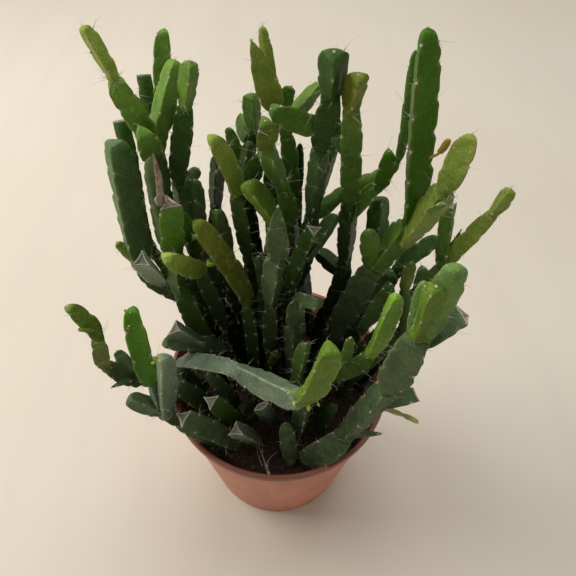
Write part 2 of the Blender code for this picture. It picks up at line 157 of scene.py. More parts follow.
# Each stem's runs: tip, ribs, turn in degrees, a tone for each segment, start on the soil (x, y) or
# inside the parent (x, y, z), then (x, y, z, width) of each joint, in millimetres
STEMS = {
    "stem_left_outer": (
        ("blunt", 3, 30, "DDA", (-23.5, 12.5), (-36, 11, 110, 5), (-48.5, 10, 130, 6.6),
         (-48, 14, 178, 10.2)),
        ("round", 2, 0, "M", (-47.5, 10, 129.5), (-56, 13, 138.5, 5.2)),
        ("cut", 3, 90, "S", (-43, 10, 122), (-41.5, -7, 151.5, 6.6))),
    "stem_left_inner": (
        ("cut", 3, 30, "DD", (-27, 20), (-48.5, 24, 123.5, 6), (-48.5, 26, 164, 6.4)),
        ("cut", 2, 0, "D", (-48, 24, 161.5), (-49.5, 28, 176, 5.8))),
    "stem_left_tall": (
        ("round", 3, 108, "DDFY", (-20, 25), (-39.5, 20, 121.5, 6.4), (-38.5, 18, 173, 8),
         (-43.5, 14, 197, 6.6), (-47, 12, 211, 4.4)),
        ("round", 3, 30, "F", (-39, 19, 171.5), (-29.5, 25, 197, 7)),
        ("blunt", 3, 0, "G", (-39, 17.5, 171), (-37, 7, 186, 6.8)),
        ("round", 3, 30, "GF", (-38.5, 19.5, 168), (-36.5, 31, 180.5, 4.2), (-33, 33, 201.5, 5.2)),
        ("cut", 2, 0, "DD", (-39, 19, 164), (-41.5, 33, 172.5, 3.4), (-42.5, 38, 185.5, 5.2))),
    "stem_left_mid_tall": (
        ("round", 3, 30, "DDDF", (-13, 24), (-33, 26.5, 126, 6.4), (-34, 24.5, 156.5, 7),
         (-27.5, 20, 186, 6.4), (-24, 18, 200, 5.4)),
        ("round", 2, 0, "A", (-33.5, 23.5, 153.5), (-27.5, 27, 159.5, 5))),
    "stem_left_stout": (
        ("cut", 3, 112, "GGG", (-22, 0), (-35, 4, 124, 7.8), (-34, 2, 147, 7.8), (-32, 1, 167, 7.6)),
        ("round", 2, 0, "AA", (-35, 4, 126), (-37.5, 6, 166, 3.8), (-36.5, 7, 178, 3.8))),
    "stem_left_ridge": (
        ("round", 3, -90, "DD", (-14, 4), (-28, 6, 137, 6), (-32, 10, 155.5, 5.6)),
        ("round", 3, 30, "Y", (-27, 6, 133), (-32.5, -12, 158.5, 6.8))),
    "stem_left_short": (
        ("round", 3, 30, "DAD", (-17, 14), (-23, 14, 104, 6.6), (-27.5, 18, 141, 5.8),
         (-27.5, 18, 162, 5)),),
    "stem_left_knob": (
        ("round", 3, 30, "DG", (-11, 12), (-18.5, 12.5, 133.5, 7), (-21, 13, 154, 6)),),
    "stem_olive": (
        ("blunt", 3, 70, "DO", (-9, -5), (-11, -4, 128, 5.6), (-25, 0, 161, 7)),),
    "stem_rear_left": (
        ("blunt", 3, 30, "KKK", (-9, 31), (-22.5, 33, 96, 5.6), (-24, 31, 138.5, 7.2),
         (-21.5, 31, 161, 5.6)),),
    "stem_mid_left_yellow": (
        ("round", 3, 75, "DDY", (-6, 5), (-11, 8.5, 138, 6.8), (-13, 3, 170, 5), (-17, -5, 193.5, 6)),),
    "stem_mid_back_left": (
        ("round", 3, 110, "DDG", (-6, 21), (-14, 22, 151, 4), (-9, 24, 176, 4), (-9.5, 24, 188, 5.6)),
        ("round", 2, 0, "G", (-12, 23, 163), (-16, 20, 179.5, 4.4)),
        ("round", 3, 30, "G", (-10, 24, 173), (-13.5, 34, 174.5, 5.6))),
    "stem_mid_dark": (
        ("round", 3, 30, "KD", (-3, 15), (-11, 15, 163, 4.6), (-10, 17, 177, 4.4)),
        ("round", 2, 0, "D", (-11, 15, 162), (-6, 11, 177, 6))),
    "stem_mid_fill": (
        ("round", 3, 30, "KDD", (0, 20.5), (-3, 19, 132.5, 5), (-3, 18, 152.5, 5), (-4, 18, 167.5, 4.8)),),
    "stem_mottled": (
        ("round", 3, 108, "DGGM", (3, 8), (2, 5, 156, 5), (0, 3, 172, 5.8), (-4, -5, 191, 5.6),
         (-4, -9, 200.5, 5.4)),),
    "stem_rear_post": (
        ("point", 3, 105, "DGGY", (6, 26), (3.5, 22, 144, 5.8), (1, 22, 176, 6), (-2.5, 21.5, 185.5, 5.4),
         (-8.5, 20, 205, 7)),
        ("round", 2, 0, "Y", (-2, 21.5, 184), (-6, 28, 205, 4)),
        ("round", 2, 0, "G", (-1.5, 22, 183), (2, 24, 190.5, 5)),
        ("round", 3, 30, "F", (0, 22, 179), (10.5, 28, 189.5, 5.2))),
    "stem_centre_tall": (
        ("round", 3, 30, "KDDDD", (4, 14), (7, 13, 122, 6.2), (9.5, 10, 156, 6.6), (10, 5, 184, 6),
         (11, 1, 201.5, 6.4), (10.5, -3, 213.5, 7.2)),
        ("round", 3, 0, "G", (11, 5, 190), (-3, 0, 198, 6.4)),
        ("round", 2, 0, "GGG", (10.5, 10, 155), (19.5, 14, 162.5, 5.2), (35, 20, 169, 5),
         (34, 22, 202.5, 3.4))),
    "stem_centre_right_tall": (
        ("round", 3, 30, "DDGO", (16, 17), (22.5, 13, 131, 7), (20, 6, 165, 6.4), (16, -1, 199, 5.8),
         (16, -5, 209.5, 6)),
        ("round", 3, 30, "GR", (20, 8, 155), (27, 4, 172.5, 5.6), (27.5, 1, 186, 5)),
        ("round", 3, 30, "D", (22, 13, 125.5), (13, 18, 131, 6.8))),
    "stem_centre_rear": (
        ("round", 3, 30, "KDDG", (14, 25), (9, 24, 117.5, 5), (11, 21, 149.5, 5), (14.5, 19, 174, 6),
         (15, 18, 185, 3.4)),),
    "stem_rear_thin": (
        ("round", 2, 0, "KK", (7, 33), (6, 30, 149, 2.8), (5.5, 32, 166.5, 3)),),
    "stem_centre_yellow": (
        ("round", 3, 110, "DGU", (-4, -1), (-5.5, 3, 129.5, 4.8), (-3, 1, 161, 4.4), (-9, -7, 181, 6.6)),
        ("round", 2, 0, "A", (-5, 3, 122), (-7, -2, 149, 4))),
    "stem_centre_post": (
        ("point", 3, -90, "DAA", (-3, -8), (-3, -8, 134, 5.4), (-1, -10, 158, 7.2), (-1, -12, 178, 6.6)),
        ("round", 2, 0, "G", (-3, -8, 94.5), (-1, -14, 114.5, 3.8))),
    "stem_centre_cut": (
        ("cut", 3, 30, "KD", (5, -3), (3, -3, 136, 6.6), (9, -8, 166.5, 5.2)),
        ("round", 2, 0, "D", (4, -4, 137), (8, 1, 160.5, 4.4)),
        ("round", 3, 30, "D", (7, -6, 152), (16, 1, 164, 5.2))),
    "stem_right_diagonal": (
        ("blunt", 3, 108, "AG", (13, 0), (29.5, -3, 146.5, 9.6), (35.5, -4, 164.5, 8.6)),
        ("round", 3, 112, "R", (37, -4, 162), (30.5, 2, 217, 7.6)),
        ("round", 3, 115, "YY", (35.5, -5, 159.5), (40.5, -10, 183, 7.8), (43.5, -8, 197.5, 6.2)),
        ("round", 2, 0, "L", (38, -8, 172), (39, -16, 183.5, 4)),
        ("round", 2, 0, "G", (29, -3.5, 145.5), (24, -8, 166.5, 6.8)),
        ("blunt", 3, 30, "D", (29.5, -1.5, 145), (29.5, 8.5, 164.5, 7.2))),
    "stem_right_rear": (
        ("round", 3, 30, "KD", (21, 14), (42, 12, 129.5, 6), (53, 12, 144.5, 6.6)),),
    "stem_right_fill": (
        ("round", 3, 30, "KD", (20, 6), (29.5, 4, 117.5, 5.4), (37.5, 5, 135.5, 8.2)),),
    "stem_right_outer": (
        ("round", 3, 110, "DDYY", (27, 5), (49.5, 4, 129.5, 5.2), (53.5, 3, 141.5, 4.6),
         (60.5, 0, 166.5, 5.2), (62, -1, 176, 4.6)),
        ("cut", 3, 30, "G", (53, 3, 140), (51, 8, 162.5, 5.2)),
        ("point", 2, 0, "A", (53, 3, 141), (56, 6, 154, 2.8))),
    "stem_right_bud": (
        ("round", 2, 0, "DDM", (26, -6), (43, -6, 115, 4.2), (39, -8, 141, 5), (38, -9, 155, 4.4)),),
    "stem_right_back": (
        ("round", 3, 30, "KD", (34, -3), (46.5, -3, 120, 4.6), (44.5, -3, 146, 6.8)),),
    "stem_right_bright": (
        ("round", 3, 110, "DGV", (10, -10), (20, -20, 109.5, 6.6), (29, -22, 126, 6.4), (30, -28, 163, 5.8)),
        ("round", 2, 0, "G", (22, -20, 111), (20.5, -27, 142, 4))),
    "stem_right_dark": (
        ("round", 3, 30, "KD", (19, -5), (28, -10, 125, 7), (33, -11, 147.5, 6)),),
    "stem_front_right": (
        ("round", 3, -65, "AAAU", (10.5, -35), (23.5, -35, 94.5, 10.4), (32.5, -36, 130, 8.8),
         (35, -37, 158, 9.6), (34.5, -38, 178.5, 7)),
        ("blunt", 2, 0, "L", (36, -37, 154.5), (38, -36, 183, 8.8)),
        ("round", 2, 0, "L", (34, -36, 156), (33.5, -33, 174.5, 4.2)),
        ("cut", 3, 30, "A", (34, -36, 150), (46, -34, 163, 7.2)),
        ("cut", 3, 90, "A", (28, -35, 115), (44.5, -31, 114.5, 6.2)),
        ("point", 2, 0, "A", (22, -34, 93), (37.5, -32, 88.5, 7.2))),
    "stem_front_arch": (
        ("blunt", 3, -90, "ASSU", (-30, -10), (-36.5, -10, 98, 5.6), (-12.5, -29, 125.5, 6.8),
         (6.5, -42, 134, 8.4), (12.5, -44, 162, 7.4)),),
    "stem_front_post": (
        ("round", 3, -90, "A", (8, -25), (9.5, -28, 102, 7)),),
    "stem_front_low": (
        ("round", 2, 0, "A", (5, -36), (2.5, -31, 94, 6.4)),),
    "stem_front_dark": (
        ("round", 3, 30, "D", (17, -22), (20, -21, 88, 8.2)),),
    "stem_centre_low": (
        ("round", 3, 90, "DG", (7, -16), (6.5, -20, 108, 7.6), (8, -24, 134, 5.2)),),
    "stem_centre_hook": (
        ("blunt", 3, -90, "AAA", (6, -8), (4.5, -13, 129, 6.8), (6, -14, 143.5, 6),
         (11.5, -19, 147.5, 4.6)),),
    "stem_left_level": (
        ("blunt", 3, 0, "DA", (-15, -1), (-22, -6, 103.5, 6.6), (-40, -12, 115, 6.2)),
        ("cut", 3, 90, "S", (-28, -8, 107), (-36, -9, 119.5, 7.6))),
    "stem_trailing_left": (
        ("round", 3, 90, "AAA", (-22, -30), (-35.5, -30, 92, 5.4), (-40, -31, 102, 4.8),
         (-49.5, -31, 110.5, 6.6)),
        ("round", 3, 30, "SR", (-40, -31, 100), (-41, -28, 116, 4.6), (-44, -18, 143, 7.2)),
        ("round", 3, -90, "S", (-39, -31, 99), (-35, -27, 131, 7.8))),
    "stem_far_left": (
        ("round", 3, 110, "AAMM", (-33, -2), (-51, -15, 95, 6), (-59.5, -18, 109.5, 7),
         (-57.5, -19, 129, 5.4), (-61.5, -20, 145.5, 5.8)),
        ("round", 2, 0, "A", (-52.5, -16, 102), (-58, -11, 108, 5.6)),
        ("point", 2, 0, "A", (-53, -16, 98), (-57, -25, 107, 4.2))),
    "stem_front_left_cut": (
        ("cut", 3, 30, "A", (-15, -29), (-32, -34, 104, 7.4)),),
    "stem_front_left_short": (
        ("cut", 3, 30, "G", (-15.5, -22), (-24, -25, 98.5, 7.4)),),
    "stem_front_star": (
        ("cut", 3, 90, "S", (-8, -28), (-15, -33, 92, 6.8)),),
    "stem_front_curled": (
        ("cut", 2, 30, "S", (-3, -19), (-6, -26, 97, 7.2)),),
    "stem_front_knob": (
        ("round", 3, 30, "A", (-8.5, -15.5), (-14.5, -18.5, 81, 6.2)),),
    "stem_left_low": (
        ("round", 3, 30, "A", (-26, -14), (-37, -20, 101, 7.8)),),
    "stem_left_low_post": (
        ("round", 3, 30, "A", (-17, -13), (-25, -19, 106.5, 6)),),
}

# Small shoots that are only skin deep, in the same form as the runs of a stem
SMALL_SHOOTS = (
    ("round", 3, 0, "L", (-28.8, 8, 146), (-27.2, 4.2, 150.6, 3)),
    ("round", 3, 0, "V", (-19.8, -1.5, 145.5), (-22.2, -5.6, 149.3, 2.8)),
    ("round", 2, 0, "A", (17, 1, 184), (12.5, 2, 190, 3)),
    ("round", 2, 0, "PP", (34.5, -32, 108.8), (41.3, -34, 107.7, 1.9), (47.2, -34.8, 104, 1.9)),
    ("round", 2, 0, "BB", (36.6, -3.6, 187.6), (38.3, -5, 190.2, 1.2), (39.6, -5.3, 194.4, 2.5)),
    ("round", 2, 0, "M", (-57.5, -20, 133.5), (-59.2, -23.2, 138.5, 3.2)),
)

# Tone letters: the setting that holds the colour, its share of waxy bloom and of tan spots, where it
# has any, and the letters of young shoots, whose ribs have brown margins
TONE_NAMES = {"K": "deep", "D": "dark", "G": "mid", "R": "rich", "A": "grey", "S": "silver", "U": "muted",
              "Y": "yellow", "L": "light", "O": "olive", "M": "mottled", "V": "vivid", "F": "fresh",
              "P": "pale", "B": "burnt"}
BLOOM = {"K": 0.05, "D": 0.12, "G": 0.12, "A": 0.45, "S": 0.9, "U": 0.05, "L": 0.2, "M": 0.05, "F": 0.05}
SPOTS = {"M": 1.0, "O": 0.7, "U": 0.2, "Y": 0.15}
YOUNG = "RFYULOMB"

# Dried roots lying over the rim, then strips of dead skin at a cut end: the width at each joint, how
# thick for its width, points around, and the joints
DRY_ROOTS = (
    ((0.5, 0.5, 0.42, 0.3), 0.8, 10,
     (-9.4, -25.4, 71.5), (-6.7, -32.7, 74.0), (-4.2, -39.4, 77.5), (-1.8, -45.4, 79.0)),
    ((0.45, 0.4, 0.28), 0.8, 10, (-6.1, -28.6, 71.4), (-5.5, -35.4, 75.0), (-3.3, -43.7, 79.0)),
    ((0.4, 0.4, 0.28), 0.8, 10, (0.1, -31.7, 71.4), (-3.5, -37.7, 76.0), (-2.9, -44.8, 79.2)),
    ((0.35, 0.32, 0.22), 0.8, 10, (-8.5, -26.6, 71.4), (-7.9, -32.5, 73.5), (-5.6, -40.1, 77.4)),
)
DEAD_STRIPS = (
    ((2.6, 1.9, 2.0, 1.3, 0.5), 0.4, 16, (-34.2, 1.0, 166.5), (-33.8, 0.2, 171), (-32.9, -1.0, 177),
     (-32.5, -2.6, 182), (-32.3, -3.6, 187)),
    ((1.9, 2.2, 0.8), 0.6, 12, (-34.6, 0.2, 167.4), (-34.4, -0.8, 170), (-33.2, -0.6, 172.4)),
    ((0.5, 0.45, 0.3), 0.8, 8, (-30.5, 0.6, 167.0), (-31.8, -1.0, 170.2), (-33.2, -1.0, 174)),
)

# Yellow buds: place, length and direction
BUDS = (
    ((-44.8, -19.5, 142.6), 2.0, (-0.5, -0.3, 1.0)), ((-44.0, -20.2, 143.2), 1.3, (0.4, -0.5, 0.8)),
    ((-44.6, -21.2, 137.0), 1.7, (-0.9, -0.6, 0.5)), ((-44.4, -21.4, 138.6), 1.2, (-0.8, -0.8, 0.2)),
    ((-36.6, -28.5, 131.2), 2.5, (-0.5, -0.3, 1.0)), ((-36.2, -28.8, 130.9), 2.3, (0.5, -0.5, 0.7)),
    ((-36.9, -29.0, 130.6), 1.9, (-0.9, -0.6, 0.3)),
    ((3.4, -42.6, 137.2), 2.2, (-0.6, -0.5, 0.8)), ((4.6, -44.0, 136.0), 2.0, (-0.2, -0.9, 0.2)),
    ((8.4, -45.4, 136.8), 2.2, (-0.1, -0.7, -0.7)), ((10.4, -45.6, 138.4), 1.6, (0.5, -0.6, -0.6)),
)


# --- user settings -------------------------------------------------------------------------

def colour_property(name, description, value):
    return FloatVectorProperty(name=name, description=description, subtype="COLOR", size=3,
                               min=0.0, max=1.0, default=value)


def number_property(name, description, value, least, most, **kind):
    """A number, which is a length in millimetres where its name says so."""
    return FloatProperty(name=name, description=description, default=value, min=least, max=most, **kind)


def count_property(name, description, value, least, most):
    return IntProperty(name=name, description=description, default=value, min=least, max=most)


class RhipsalisPlantSettings(bpy.types.PropertyGroup):
    """Sizes and colours of the stems"""
    ring_step: number_property("Ring step (mm)", "Distance between two rings of a stem's skin", 0.8, 0.3, 4.0)
    points_around: count_property("Points around", "Points of one ring", 36, 12, 96)
    edge: number_property("Edge rounding", "How blunt a rib is, as a share of its radius", 0.05, 0.0, 0.3,
                          subtype="FACTOR")
    areole_gap: number_property("Areole gap (mm)", "Distance between two areoles along a rib", 8.5, 3.0, 40.0)
    notch: number_property("Notch depth", "Depth of a rib's notches over its radius", 0.13, 0.0, 0.5,
                           subtype="FACTOR")
    bristle: number_property("Bristle length (mm)", "Length of the longest bristles", 3.2, 0.0, 8.0)
    deep: colour_property("Deep green", "Oldest wood-like stems low in the pot", (0.012, 0.027, 0.005))
    dark: colour_property("Dark green", "Old stems", (0.032, 0.070, 0.012))
    mid: colour_property("Mid green", "Grown stems", (0.064, 0.131, 0.017))
    rich: colour_property("Rich green", "Fresh grown stems", (0.045, 0.119, 0.008))
    grey: colour_property("Grey green", "Stems with a thin bloom", (0.062, 0.103, 0.035))
    silver: colour_property("Silver green", "Stems with a thick bloom", (0.142, 0.202, 0.114))
    muted: colour_property("Muted yellow green", "Half-grown shoots", (0.097, 0.173, 0.017))
    yellow: colour_property("Yellow green", "Young shoots", (0.160, 0.224, 0.034))
    light: colour_property("Light green", "Young shoots in shade", (0.120, 0.225, 0.050))
    olive: colour_property("Olive", "Young tips in full light", (0.112, 0.150, 0.016))
    pale: colour_property("Pale yellow", "Thin new strips", (0.560, 0.590, 0.200))
    fresh: colour_property("Fresh green", "Young grown stems", (0.090, 0.174, 0.024))
    vivid: colour_property("Vivid green", "Youngest shoots", (0.185, 0.350, 0.034))
    burnt: colour_property("Burnt tan", "Shrivelled tips", (0.330, 0.235, 0.040))
    mottled: colour_property("Mottled tan", "Spotted young tips", (0.080, 0.128, 0.016))


class RhipsalisSoilSettings(bpy.types.PropertyGroup):
    """Sizes and colours of the soil"""
    roughness: number_property("Lump height (mm)", "Height of the lumps of the soil's surface", 1.3, 0.0, 5.0)
    crumbs: count_property("Crumbs", "Number of loose crumbs on the soil", 1500, 1, 6000)
    fibres: count_property("Fibres", "Number of loose fibres on the soil", 260, 1, 2000)
    peat: colour_property("Peat", "Dark peat", (0.022, 0.013, 0.008))
    bark: colour_property("Bark", "Bits of bark and fibre", (0.115, 0.060, 0.032))


class RhipsalisPotSettings(bpy.types.PropertyGroup):
    """Size and colours of the pot"""
    points_around: count_property("Points around", "Points of the pot's rings", 256, 32, 720)
    wall: colour_property("Wall", "Moulded terracotta-coloured plastic", (0.470, 0.150, 0.082))
    # This colour darkens the lip band, from just under its step to its top.
    lip: colour_property("Lip", "Thicker, darker plastic of the lip", (0.118, 0.018, 0.007))


class RhipsalisStudioSettings(bpy.types.PropertyGroup):
    """Floor and lights"""
    floor: colour_property("Floor", "Plain pale floor", (0.760, 0.690, 0.580))
    window_power: number_property("Window power", "Power of the large soft lamp", 4.9, 0.0, 100.0,
                                  subtype="POWER", unit="POWER")
    room_light: number_property("Room light", "Strength of the light from all round", 0.31, 0.0, 5.0)


# --- shader maths --------------------------------------------------------------------------

def maths(operation, turned=False):
    """A method that joins two terms by a Math node, the other term first where turned."""
    def method(self, other):
        terms = (other, self) if turned else (self, other)
        return self.nodes.node("Math", {"operation": operation}, dict(enumerate(terms)))
    return method


class Value:
    """A number or colour in a node tree; an expression on values adds its Math nodes."""
    __add__, __radd__ = maths("ADD"), maths("ADD", True)
    __mul__, __rmul__ = maths("MULTIPLY"), maths("MULTIPLY", True)

    def __init__(self, nodes, socket):
        self.nodes, self.socket = nodes, socket


class Nodes:
    """A node tree whose nodes are added by method calls."""

    def __init__(self, owner):
        owner.use_nodes = True
        self.tree = owner.node_tree

    def fill(self, node, sockets):
        """Links the values among the sockets, and sets the plain numbers and colours."""
        for key, value in sockets.items():
            if isinstance(value, Value):
                self.tree.links.new(value.socket, node.inputs[key])
            else:
                node.inputs[key].default_value = value

    def node(self, kind, settings, sockets, output=0):
        """Adds a node: its settings first, then the values or links of its sockets."""
        node = self.tree.nodes.new("ShaderNode" + kind)
        for key, setting in settings.items():
            setattr(node, key, setting)
        self.fill(node, sockets)
        return Value(self, node.outputs[output] if node.outputs else None)


class Paint(Nodes):
    """A material of one finish."""

    def __init__(self, name):
        self.material = bpy.data.materials.new(name)
        super().__init__(self.material)

    def place(self):
        return self.node("TexCoord", {}, {}, "Object")

    def stretched(self, x, y, z):
        """The object's coordinates, scaled along each axis."""
        return self.tinted(self.place(), x, y, z)

    def attribute(self, name, output="Fac"):
        return self.node("Attribute", {"attribute_name": name}, {}, output)

    def noise(self, scale, detail=2.0, rough=0.5, place=None):
        return self.node("TexNoise", {}, {"Vector": place or self.place(), "Scale": scale, "Detail": detail,
                                          "Roughness": rough})

    def cells(self, scale):
        """Distance to the nearest of a field of scattered points, in cell sizes."""
        return self.node("TexVoronoi", {}, {"Vector": self.place(), "Scale": scale})

    def step(self, value, low, high):
        """0 below low, 1 above high and a smooth rise between; falls instead where low > high."""
        ends = (low, high, 0.0, 1.0) if low < high else (high, low, 1.0, 0.0)
        return self.node("MapRange", {"interpolation_type": "SMOOTHSTEP"}, dict(enumerate((value, *ends))))

    def mix(self, share, first, second):
        """first where share is 0, second where it is 1, both colours."""
        first, second = ((*c, 1.0) if isinstance(c, tuple) else c for c in (first, second))
        return self.node("Mix", {"data_type": "RGBA"}, {0: share, 6: first, 7: second}, 2)

    def layered(self, colour, *layers):
        """A colour with others laid over it in turn, each by its own share."""
        for share, top in layers:
            colour = self.mix(share, colour, top)
        return colour

    def scaled(self, colour, share):
        """A colour times a number."""
        return self.node("VectorMath", {"operation": "SCALE"}, {0: colour, 3: share})

    def tinted(self, colour, red, green, blue):
        """A colour, or a place, with each of its three parts times its own number."""
        return self.node("VectorMath", {"operation": "MULTIPLY"}, {0: colour, 1: (red, green, blue)})

    def bump(self, height, depth, strength=1.0):
        """Normal of a surface raised by height times depth in metres."""
        return self.node("Bump", {}, {"Height": height, "Distance": depth, "Strength": strength})

    def finish(self, **sockets):
        """The material, with its shader's sockets filled: base_color stands for Base Color."""
        named = {key.replace("_", " ").title().replace("Ior", "IOR"): value for key, value in sockets.items()}
        self.fill(self.tree.nodes["Principled BSDF"], named)
        return self.material


def stem_skin(slot):
    """Skin of a stem: its tone, with painted light and shade from the stem's place, blotched and
    finely grained, paler on the rib edges, with a waxy bloom, pale areoles, brown flecks, and dry
    beige callus where it was cut.
    """
    paint = Paint("skin_" + slot)
    # The tone attribute is each stem's colour times painted light and shade: darker low inside the plant,
    # lighter higher up and towards the window.
    tone = paint.attribute("tone", "Color")
    rib, areole, scar, bloom, spots, margin = (
        paint.attribute(name) for name in ("rib", "areole", "scar", "bloom", "spots", "margin"))
    cloud = paint.noise(95.0, 3.0)
    patch = paint.noise(330.0, 3.0, 0.6)
    grain = paint.noise(1900.0, 2.0, 0.6)
    wax = bloom * paint.step(patch, 0.30, 0.66) * (0.35 + 0.65 * paint.step(grain, 0.42, 0.62))
    tan = paint.step(paint.noise(520.0), 0.58, 0.68) * spots
    fleck = paint.step(paint.cells(270.0), 0.16, 0.09) * paint.step(cloud, 0.50, 0.62)
    edge = paint.step(rib, 0.55, 0.98) * (0.35 + 0.65 * paint.step(patch, 0.34, 0.60))
    brown = margin * paint.step(rib, 0.50, 0.95) * paint.step(cloud, 0.40, 0.56)
    dry = paint.mix(paint.step(patch, 0.46, 0.66), (0.56, 0.53, 0.42), (0.34, 0.27, 0.18))
    core = paint.mix(paint.step(grain, 0.48, 0.60), (0.17, 0.185, 0.125), (0.30, 0.29, 0.21))
    colour = paint.layered(
        paint.scaled(tone, 0.20 + 0.80 * cloud + 0.80 * patch),
        (0.55 * paint.step(cloud, 0.52, 0.70), paint.tinted(tone, 1.45, 1.18, 1.05)),
        (0.45 * wax, (0.20, 0.25, 0.17)),
        (0.42 * paint.step(grain, 0.54, 0.66), paint.tinted(tone, 2.5, 2.1, 3.6)),
        (0.65 * tan, (0.30, 0.22, 0.09)),
        (0.55 * fleck, (0.115, 0.075, 0.030)),
        (0.55 * edge, paint.tinted(tone, 3.0, 2.2, 2.4)),
        (0.75 * brown, (0.150, 0.085, 0.030)),
        (0.85 * areole, (0.48, 0.46, 0.34)),
        (paint.step(scar, 0.10, 0.40), paint.mix(paint.step(scar, 0.72, 0.94), core, dry)))
    rough = 0.42 + 0.16 * patch + 0.10 * bloom + 0.26 * scar + 0.10 * areole
    height = 0.55 * grain + 0.9 * patch + 0.5 * scar * paint.noise(900.0, 3.0)
    return paint.finish(base_color=colour, roughness=rough, normal=paint.bump(height, 0.00050, 0.75),
                        specular_ior_level=0.10)


def wool_finish():
    """Off-white wool of the areoles, browner in places."""
    paint = Paint("areole_wool")
    colour = paint.mix(paint.step(paint.noise(300.0), 0.45, 0.60), (0.62, 0.59, 0.47), (0.36, 0.32, 0.21))
    return paint.finish(base_color=colour, normal=paint.bump(paint.noise(3500.0), 0.0003), roughness=0.85)


def bristle_finish():
    """Pale bristles, some tinged brown."""
    paint = Paint("bristles")
    patch = paint.step(paint.noise(160.0, 1.0), 0.50, 0.62)
    return paint.finish(base_color=paint.mix(patch, (0.62, 0.61, 0.50), (0.40, 0.33, 0.22)), roughness=0.55)


def dry_finish(name, pale, brown):
    """Dry matter in two tones, in long streaks."""
    paint = Paint(name)
    streak = paint.noise(900.0, 3.0, place=paint.stretched(1.0, 1.0, 0.25))
    return paint.finish(base_color=paint.mix(paint.step(streak, 0.42, 0.60), pale, brown),
                        normal=paint.bump(streak, 0.0002), roughness=0.8)


def soil_finish(settings):
    """Moist peat: near black, with lighter bits of fibre, and dull."""
    paint = Paint("peat_soil")
    crumb, fine = paint.noise(420.0, 4.0, 0.65), paint.noise(1700.0, 3.0)
    bits = paint.step(paint.cells(520.0), 0.22, 0.12) * paint.step(paint.noise(90.0), 0.45, 0.62)
    peat, bark = tuple(settings.peat), tuple(settings.bark)
    crumbly = tuple(0.6 * p + 0.25 * b for p, b in zip(peat, bark))
    colour = paint.layered(peat, (paint.step(crumb, 0.46, 0.70), crumbly), (0.7 * bits, bark))
    return paint.finish(base_color=paint.scaled(colour, 0.6 + 0.8 * fine), roughness=0.70 + 0.25 * crumb,
                        normal=paint.bump(crumb + 0.4 * fine, 0.0011, 0.9), specular_ior_level=0.30)


def crumb_finish():
    """Loose crumbs, each with its own share of bark brown."""
    paint = Paint("soil_crumbs")
    fine = paint.noise(1500.0, 3.0)
    return paint.finish(base_color=paint.scaled(paint.attribute("tone", "Color"), 0.55 + 0.9 * fine),
                        normal=paint.bump(fine, 0.0006), roughness=0.85, specular_ior_level=0.3)


def pot_finish(settings):
    """Moulded plastic: clouded terracotta, faint flow lines up the wall, fine scuffs, a darker
    lip and a satin face.
    """
    paint = Paint("terracotta_plastic")
    cloud = paint.noise(38.0, 3.0)
    flow = paint.noise(220.0, place=paint.stretched(1.0, 1.0, 0.12))
    scuff = paint.step(paint.noise(700.0, 3.0, place=paint.stretched(0.25, 0.25, 1.6)), 0.60, 0.72)
    wall = tuple(settings.wall)
    colour = paint.layered(
        wall,
        (paint.step(cloud, 0.35, 0.68), tuple(min(1.0, c * 1.22 + 0.02) for c in wall)),
        (0.30 * paint.step(flow, 0.45, 0.65), tuple(c * 0.80 for c in wall)),
        (0.22 * scuff, (0.62, 0.42, 0.33)),
        (0.80 * paint.attribute("lip"), tuple(settings.lip)))
    height = 0.5 * paint.noise(2600.0) + 0.9 * flow
    return paint.finish(base_color=colour, roughness=0.36 + 0.14 * cloud + 0.16 * scuff,
                        normal=paint.bump(height, 0.00012, 0.5), specular_ior_level=0.5)


def floor_finish(settings):
    """Pale floor with the faintest cloudiness and grain along its length."""
    paint = Paint("pale_floor")
    grain = paint.noise(36.0, 3.0, place=paint.stretched(1.0, 0.10, 1.0))
    floor = tuple(settings.floor)
    shade = tuple(c * f for c, f in zip(floor, (0.965, 0.955, 0.935)))
    colour = paint.layered(floor, (paint.step(paint.noise(4.0, 3.0), 0.35, 0.68), shade),
                           (0.35 * paint.step(grain, 0.46, 0.66), tuple(c * 0.93 for c in floor)))
    return paint.finish(base_color=colour, roughness=0.6, specular_ior_level=0.2)


# --- meshes from arrays --------------------------------------------------------------------

def put_mesh(name, points, quads, triangles, material, values=None):
    """An object from points in metres, index arrays of quads and triangles, and one array of
    values for each named attribute (three columns make a colour).
    """
    mesh = bpy.data.meshes.new(name)
    mesh.vertices.add(len(points))
    mesh.vertices.foreach_set("co", np.asarray(points, np.float32).ravel())
    quads, triangles = (np.asarray(faces, np.int32) for faces in (quads, triangles))
    corners = np.concatenate((quads.ravel(), triangles.ravel()))
    totals = np.repeat(np.array((4, 3), np.int32), (len(quads), len(triangles)))
    mesh.loops.add(len(corners))
    mesh.loops.foreach_set("vertex_index", corners)
    mesh.polygons.add(len(totals))
    mesh.polygons.foreach_set("loop_start", (np.cumsum(totals) - totals).astype(np.int32))
    mesh.polygons.foreach_set("loop_total", totals)
    mesh.polygons.foreach_set("use_smooth", np.ones(len(totals), bool))
    mesh.update(calc_edges=True)
    for key, value in (values or {}).items():
        value = np.asarray(value, np.float32)
        if value.ndim == 2:
            value = np.column_stack((value, np.ones(len(value), np.float32)))
            mesh.attributes.new(key, "FLOAT_COLOR", "POINT").data.foreach_set("color", value.ravel())
        else:
            mesh.attributes.new(key, "FLOAT", "POINT").data.foreach_set("value", value)
    mesh.validate()
    mesh.materials.append(material)
    obj = bpy.data.objects.new(name, mesh)
    bpy.context.scene.collection.objects.link(obj)
    return obj


def joined(parts):
    """One set of points, quads, triangles and values from several."""
    points, quads, fans, values = zip(*parts)
    base = np.cumsum([0, *(len(part) for part in points)])
    return (np.concatenate(points), np.concatenate([part + b for part, b in zip(quads, base)]),
            np.concatenate([part + b for part, b in zip(fans, base)]),
            {key: np.concatenate([part[key] for part in values]) for key in values[0]})


